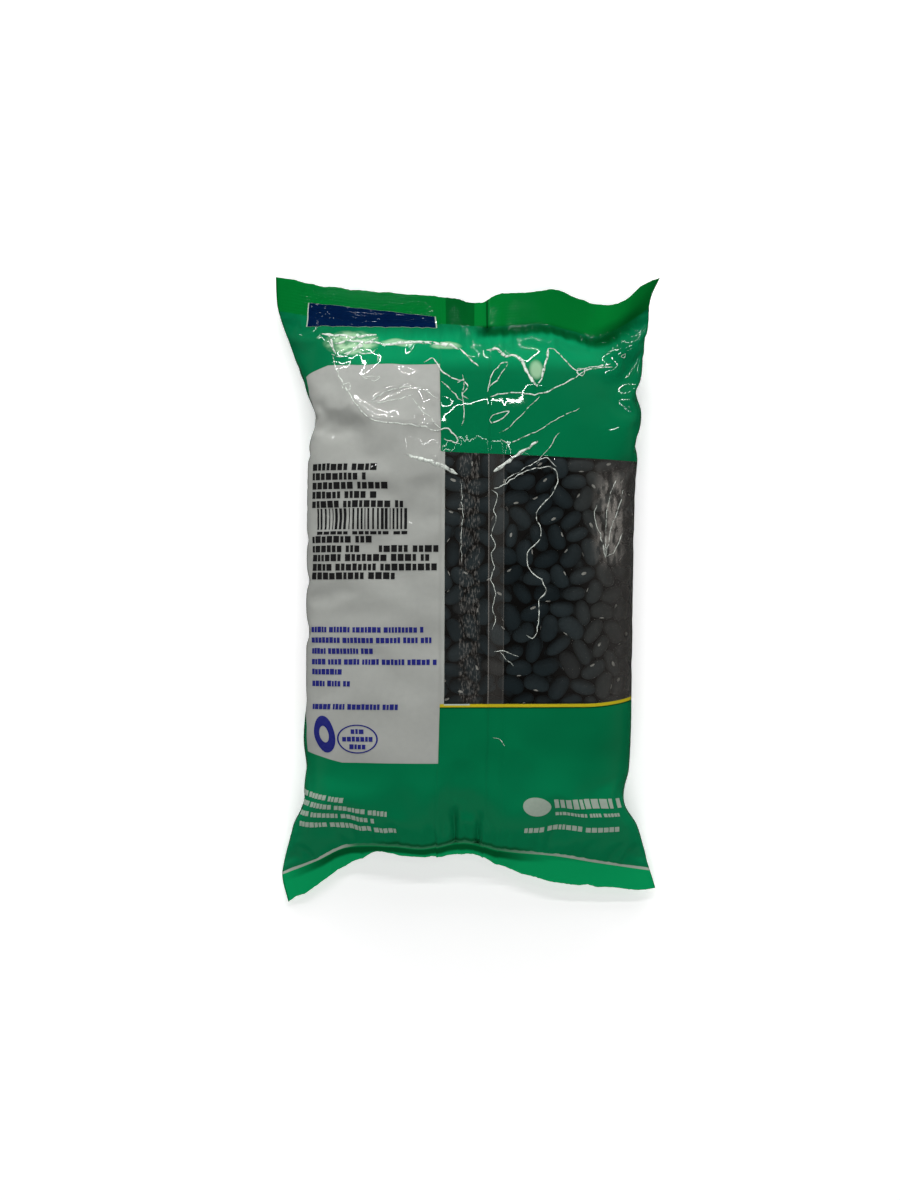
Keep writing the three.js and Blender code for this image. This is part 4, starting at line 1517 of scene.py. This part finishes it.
def film_material():
    paint = Paint(bpy.data.materials.new("film"))
    at = Places(paint)
    right_side = at.u.above(SEAM_LEFT, EDGE).either(at.under)
    seal_low = at.low.below(*SEAL_EDGE)
    seal_high = at.high.above(*SEAL_EDGE)

    window_top = (at.u * at.upper + at.under * HALF_WIDTH - SEAM_LEFT) * -WINDOW_SLOPE + WINDOW_HIGH
    window_low = at.u.above(*RISE_AT) * WINDOW_RISE + WINDOW_LOW
    window = right_side * at.v.above(window_low) * window_top.above(at.v)
    window = window * at.u.above(SEAM_LEFT + PANEL_LAP, EDGE).either(at.under)

    line_low = window_low - LINE_WIDTH
    line = right_side * at.v.between(line_low, window_low)
    shadow = right_side * at.v.between(line_low - THIN_LINE, line_low)
    lap_line = at.v.between(*LAP_LINE) * at.u.between(*LAP_LINE_ACROSS)
    bright = at.u.below(*END_LINE_LEFT).either(at.u.above(*END_LINE_RIGHT))
    end_line = at.low.between(*END_LINE) * (bright * (1 - END_LINE_REST) + END_LINE_REST)
    grey_noise = paint.noise(*PANEL_CLOUD) * 0.5 + paint.noise(*SPECK) * 0.5
    colour = paint.layers(
        green_print(paint, at, seal_low, seal_high),
        (panel_field(at), paint.mix(grey_noise, PANEL_DARK, PANEL_LIGHT)),
        (shadow, GREEN_LAP_AND_SHADE),
        (line, YELLOW),
        (lap_line * at.upper, PALE),
        (end_line, PALE),
    )

    normal = paint.bump(*WAVES)
    normal = paint.bump(*GRAIN, Normal=normal)
    matt = seal_low.either(seal_high).either(at.high.between(*HOLLOW) * at.u.above(*HOLLOW_FROM) * at.upper)
    coat = matt * -COAT_LOSS + 1.0
    printed = paint.principled(
        Base_Color=colour, Normal=normal, Coat_Normal=normal, Coat_Weight=coat, **UNDER_FILM
    )

    clear = paint.node("ShaderNodeBsdfTransparent", Color=CLEAR).outputs[0]
    gloss = paint.node("ShaderNodeBsdfGlossy", Roughness=GLOSS_ROUGH, Color=WHITE, Normal=normal).outputs[0]
    fresnel = paint.node("ShaderNodeFresnel", IOR=FILM_IOR, Normal=normal).outputs[0]
    # Diffuse of the milky film, which also carries its painted reflections
    veil_diffuse = paint.node("ShaderNodeBsdfDiffuse", Color=MILK_AND_REFLECTION).outputs[0]
    cloudy = paint.blend(film_veil(paint, at), paint.blend(fresnel, clear, gloss), veil_diffuse)
    return paint.finish(paint.blend(window * line.inverse(), printed, cloudy))


def mottled(name, grain, first, second, **values):
    """A material of two colours, mixed by noise."""
    paint = Paint(bpy.data.materials.new(name))
    return paint.finish(paint.principled(Base_Color=paint.mix(paint.noise(*grain), first, second), **values))


def bean_material():
    paint = Paint(bpy.data.materials.new("bean_skin"))
    tone = Field(paint.node("ShaderNodeAttribute", attribute_name="tone").outputs["Fac"])
    mottle = paint.noise(*MOTTLE)
    skin = paint.layers(
        paint.mix(tone, BEAN_DARK, BEAN_PALE),
        (tone.between(*BROWN_TONES) * BROWN_SHARE, BEAN_BROWN),
        # Beans greyer towards the right of the window
        (tone.above(*GREYED_TONES) * GREYED_COLOUR_SHARE, BEAN_GREYED),
        (mottle * MOTTLE_SHARE, BEAN_DARK),
    )
    rough = mottle * ROUGH_SPREAD + BEAN_ROUGH
    normal = paint.bump(*BEAN_GRAIN)
    return paint.finish(paint.principled(
        Base_Color=skin, Roughness=rough, Normal=normal, IOR=BEAN_IOR, Specular_IOR_Level=BEAN_SHINE
    ))


class Stamps:
    """Flat shapes laid on the film as thin slabs, joined into one piece."""

    def __init__(self, film, lift=INK_LIFT):
        self.film = film
        self.lift = lift
        self.points = []
        self.faces = []

    def sheet(self, u, v, closed=False):
        """A slab over a grid of film places, given as arrays of rows and columns."""
        top, low = (self.film.on_film(u, v, lift).reshape(-1, 3) for lift in (self.lift, -self.lift))
        self.slab(top, low, *u.shape, closed)

    def slab(self, top, low, rows, columns, closed=False):
        """A slab between two sheets of points, each in rows and columns."""
        first = len(self.points)
        self.points.extend(top)
        self.points.extend(low)
        last, end = rows - 1, columns - 1

        def wall(*corners):
            self.faces.append([first + (layer * rows + r) * columns + c % columns for layer, r, c in corners])

        across = columns if closed else end
        for c in range(across):
            for r in range(last):
                wall((0, r, c), (0, r, c + 1), (0, r + 1, c + 1), (0, r + 1, c))
                wall((1, r + 1, c), (1, r + 1, c + 1), (1, r, c + 1), (1, r, c))
            wall((1, 0, c), (1, 0, c + 1), (0, 0, c + 1), (0, 0, c))
            wall((0, last, c), (0, last, c + 1), (1, last, c + 1), (1, last, c))
        if not closed:
            for r in range(last):
                wall((0, r, 0), (0, r + 1, 0), (1, r + 1, 0), (1, r, 0))
                wall((1, r, end), (1, r + 1, end), (0, r + 1, end), (0, r, end))

    def box(self, u0, v0, u1, v1):
        u, v = (np.linspace(a, b, max(2, math.ceil((b - a) / CELL) + 1)) for a, b in ((u0, u1), (v0, v1)))
        self.sheet(*np.meshgrid(u, v))

    def ring(self, u, v, wide, high, turn, inner, spokes=40, bands=2):
        """An oval ring, or a disc where inner is 0."""
        angle = np.arange(spokes) * math.tau / spokes
        share = np.linspace(1, max(inner, DISC_MIDDLE), bands + 1)[::-1, None]
        x = np.cos(angle) * wide * share
        y = np.sin(angle) * high * share
        cos, sin = math.cos(turn), math.sin(turn)
        self.sheet((u + x * cos - y * sin)[:, ::-1], (v + x * sin + y * cos)[:, ::-1], closed=True)

    def words(self, random, u0, u1, v, height, pitch, lean=0.0):
        """A row of plain blocks in groups, in the place of a line of print."""
        blocks = []
        u = 0.0
        left = random.integers(*WORD_LENGTHS)
        while u < u1 - u0 - pitch * WORD_GAP:
            if left == 0:
                u += pitch * WORD_GAP
                left = random.integers(*WORD_LENGTHS)
                continue
            wide = pitch * random.uniform(*BLOCK_WIDTHS)
            blocks.append((u, u + wide, height * random.uniform(*BLOCK_HEIGHTS)))
            u += wide + pitch * BLOCK_GAP
            left -= 1
        stretch = (u1 - u0) / blocks[-1][1]
        for first, last, high in blocks:
            base = v + lean * first * stretch - height / 2
            self.box(u0 + first * stretch, base, u0 + last * stretch, base + high)

    def plate(self, corners):
        """A four-sided field, its corners from the top left clockwise."""
        top_left, top_right, low_right, low_left = (np.array(c) for c in corners)
        columns = math.ceil(np.linalg.norm(top_right - top_left) / PLATE_CELL) + 1
        rows = math.ceil(np.linalg.norm(top_left - low_left) / PLATE_CELL) + 1
        across = np.linspace(0, 1, columns)[None, :, None]
        up = np.linspace(0, 1, max(rows, 2))[:, None, None]
        low = low_left + (low_right - low_left) * across
        high = top_left + (top_right - top_left) * across
        grid = low + (high - low) * up
        self.sheet(grid[..., 0], grid[..., 1])

    def piece(self, name, material, smooth=False):
        return mesh_piece(name, self.points, self.faces, material, smooth)


def glint_piece(film):
    """Painted highlights: thin white strips of uneven width along fine folds of the film, which wander a
    little.
    """
    random = np.random.default_rng(GLINT_SEED)
    skin = film_tree(film, 1)
    glint_strips = Stamps(film)
    for width, points in GLINT_LINES:
        corners = np.array(points) - film.shift[:2]
        walked = np.concatenate([[0], np.cumsum(np.linalg.norm(np.diff(corners, axis=0), axis=1))])
        length = walked[-1]
        count = max(int(length / GLINT_STEP), 4)
        at = np.linspace(0, length, count)
        line = np.stack([through(np.stack([walked, corners[:, k]], 1), at) for k in (0, 1)], 1)
        way = unit(np.gradient(line, axis=0))
        aside = np.stack([-way[:, 1], way[:, 0]], 1)
        coarse = np.arange(0, count + GLINT_EVERY, GLINT_EVERY)
        wander = np.interp(np.arange(count), coarse, random.normal(0, GLINT_WANDER, len(coarse)))
        uneven = np.interp(np.arange(count), coarse, random.uniform(*GLINT_UNEVEN, len(coarse)))
        taper = np.sqrt(np.clip(np.minimum(at, length - at) / GLINT_TIP, GLINT_THINNEST, 1))
        half = width / 2 * uneven * taper
        top, low = [], []
        for side in (-1, 1):
            for x, y in line + aside * (wander + side * half)[:, None]:
                place, out, _, _ = skin.ray_cast(Vector((x, y, DROP_FROM)), Vector((0, 0, -1)))
                top.append(place + out * GLINT_LIFT)
                low.append(place - out * GLINT_LIFT)
        glint_strips.slab(top, low, 2, count)
    return glint_strips.piece("film_painted_glints", glint_material(), smooth=True)


def glint_material():
    """Painted highlight strips: whitish and glossy, fading in and out along each strip."""
    paint = Paint(bpy.data.materials.new("painted_glint"))
    clear = paint.node("ShaderNodeBsdfTransparent").outputs[0]
    tint = paint.mix(paint.noise(*GLINT_GRAIN), GLINT_PALE, GLINT_WHITE)
    white = paint.principled(Base_Color=tint, Roughness=0.25)
    share = paint.noise(*GLINT_BREAKS).above(*GLINT_BREAK_EDGE) * GLINT_SHARE
    return paint.finish(paint.blend(share, clear, white))


def print_pieces(film):
    """The dark, blue, navy and pale print: rows of plain blocks, stripes, a ring and an oval."""
    random = np.random.default_rng(PRINT_SEED)
    black = Stamps(film)
    for u0, u1, v in BLACK_ROWS:
        black.words(random, u0, u1, v, BLACK_HEIGHT, BLACK_PITCH)
    u0, v0, u1, v1 = BARCODE
    u = u0
    while u < u1:
        wide = MODULE * random.integers(*MODULES)
        black.box(u, v0, min(u + wide, u1), v1)
        u += wide + MODULE * random.integers(*MODULES)
    below, height, pitch = DIGITS
    black.words(random, u0, u1, v0 - below, height, pitch)

    blue = Stamps(film)
    for u0, u1, v in BLUE_ROWS:
        blue.words(random, u0, u1, v, BLUE_HEIGHT, BLUE_PITCH)
    blue.ring(*DISC, DISC_HOLE, bands=4)
    blue.ring(*OVAL, OVAL_LINE, spokes=60, bands=1)
    for half, up in OVAL_ROWS:
        blue.words(random, OVAL[0] - half, OVAL[0] + half, OVAL[1] + up, OVAL_HEIGHT, OVAL_PITCH)

    navy = Stamps(film, PLATE_LIFT)
    navy.plate(PLATE)

    pale = Stamps(film)
    for u0, u1, v, lean in PALE_ROWS:
        pale.words(random, u0, u1, v, PALE_HEIGHT, PALE_PITCH, lean)
    pale.ring(*MARK_OVAL, 0, bands=5)
    for u0, u1, v, height, pitch in MARK_ROWS:
        pale.words(random, u0, u1, v, height, pitch)
    inner = np.array(PLATE)
    outward = inner - inner.mean(0)
    outer = inner + outward / np.linalg.norm(outward, axis=1, keepdims=True) * KEYLINE
    for k in range(4):
        after = (k + 1) % 4
        pale.plate((outer[k], outer[after], inner[after], inner[k]))

    made = []
    for name, stamps in zip(INKS, (black, blue, navy, pale)):
        *colours, coat = INKS[name]
        ink = mottled(name, INK_GRAIN, *colours, Coat_Weight=coat, **UNDER_FILM)
        made.append(stamps.piece(name, ink))
    return made


def bean_pieces(film):
    """The loose beans and their eyes, packed under the film."""
    centre, turn, size = pack_beans(film)
    random = np.random.default_rng(BEAN_SEED + 1)
    count = len(centre)
    stretch = size[:, None] * spread_about_one(random, (count, 3), SHAPE_SPREAD)
    template, faces = bean_template()
    points, joined = scattered(template, faces, centre, turn, stretch)
    moved = kept_inside(points.copy(), count, film_tree(film, 1))
    centre = centre + (moved - points).reshape(count, -1, 3)[:, 0]
    points = moved
    beans = mesh_piece("beans", points, joined, bean_material())
    greyed = GREYING_SHARE * smoothstep(centre[:, 0], *GREYING_FROM)
    tone = np.repeat(random.random(count) * (1 - greyed) + greyed * GREYED_TONE, len(template))
    beans.data.attributes.new("tone", "FLOAT", "POINT").data.foreach_set("value", tone)
    white = mottled("bean_eye", EYE_GRAIN, *EYE_COLOURS, Roughness=0.6)
    eye_points, eye_faces = scattered(*eye_template(), centre, turn, stretch)
    return beans, mesh_piece("bean_eyes", eye_points, eye_faces, white)


def core_piece(film):
    """The dark middle of the heap, darker than the beans as painted shade: two layers of beans deep in the
    window, close under the printed film.
    """
    random = np.random.default_rng(BEAN_SEED + 2)
    rows = np.nonzero((film.part == 1) & (np.abs(film.share - 0.5) < CORE_LENGTH))[0][::CORE_ROWS]
    columns = np.nonzero(np.abs(film.s) < CORE_REACH)[0][::CORE_COLUMNS]
    upper, lower = (side[rows][:, columns] for side in film.sides)
    window = plateau(film.y[rows][:, columns], *CORE_WINDOW)
    under_clear = window * smoothstep(film.s[columns] * HALF_WIDTH, *CORE_SEAM)
    middle = (upper[..., 2] + lower[..., 2]) / 2
    sheets = []
    sides = ((upper, under_clear, -1, np.maximum), (lower, window, 1, np.minimum))
    for points, clear, toward, limit in sides:
        depth = CORE_COVER + (CORE_DEPTH - CORE_COVER) * clear + random.normal(0, CORE_BUMP, clear.shape)
        height = points[..., 2] + toward * np.maximum(depth, CORE_LEAST)
        points[..., 2] = limit(height, middle - toward * CORE_HALF)
        sheets.append(points.reshape(-1, 3))
    core = Stamps(film)
    core.slab(*sheets, *window.shape)
    dark = mottled("core", CORE_GRAIN, *CORE_SHADE_COLOURS, Roughness=0.8)
    return core.piece("heap_core", dark, smooth=True)


def soft_light(name, place, size, power, mirrored):
    """An area light, which shows in the gloss of the film where it is mirrored."""
    light = bpy.data.lights.new(name, "AREA")
    light.shape = "RECTANGLE"
    light.size, light.size_y = size
    light.energy = power
    lamp = bpy.data.objects.new(name, light)
    lamp.visible_glossy = mirrored
    lamp.location = place
    lamp.rotation_euler = (Vector(LIT_PLACE) - Vector(place)).to_track_quat("-Z", "Y").to_euler()
    bpy.context.scene.collection.objects.link(lamp)


def sky_world():
    sky = Paint(bpy.data.worlds.new("studio"), "ShaderNodeOutputWorld")
    place = sky.node("ShaderNodeTexCoord").outputs["Generated"]
    up = sky.node("ShaderNodeSeparateXYZ", Vector=place).outputs[2]
    upwards, horizon = (
        Field(sky.node("ShaderNodeMapRange", Value=up, **ramp).outputs["Result"]) for ramp in SKY_RAMPS
    )
    light = sky.node("ShaderNodeBackground", Color=WHITE, Strength=upwards * horizon)
    return sky.finish(light.outputs[0])


def floor_material():
    paint = Paint(bpy.data.materials.new("floor"))
    white = paint.mix(paint.noise(*FLOOR_GRAIN), *FLOOR_COLOURS)
    return paint.finish(
        paint.principled(Base_Color=white, Roughness=0.9, Emission_Color=white, Emission_Strength=FLOOR_GLOW)
    )


def studio():
    scene = bpy.context.scene
    scene.view_settings.view_transform = "Standard"
    scene.world = sky_world()

    bpy.ops.mesh.primitive_plane_add(size=FLOOR_SIZE, location=(0, 0, FLOOR_DROP))
    floor = bpy.context.object
    floor.name = "floor"
    floor.data.materials.append(floor_material())
    floor.visible_glossy = False

    for light in LIGHTS:
        soft_light(*light)

    camera = bpy.data.cameras.new("camera")
    camera.lens = CAMERA_LENS
    camera.sensor_width = SENSOR
    holder = bpy.data.objects.new("camera", camera)
    holder.location = CAMERA_PLACE
    scene.collection.objects.link(holder)
    scene.camera = holder


def main():
    film = Film(settle_film())
    beans, eyes = bean_pieces(film)
    film.raise_seam()
    film.upper_normals = film.normals(0)
    skin = film_piece(film)
    core = core_piece(film)
    prints = print_pieces(film)
    prints.append(glint_piece(film))
    for piece in (skin, beans, eyes, core, *prints):
        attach(piece, "root")
    for piece in (skin, beans, eyes, core):
        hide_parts("bag")
    studio()


main()
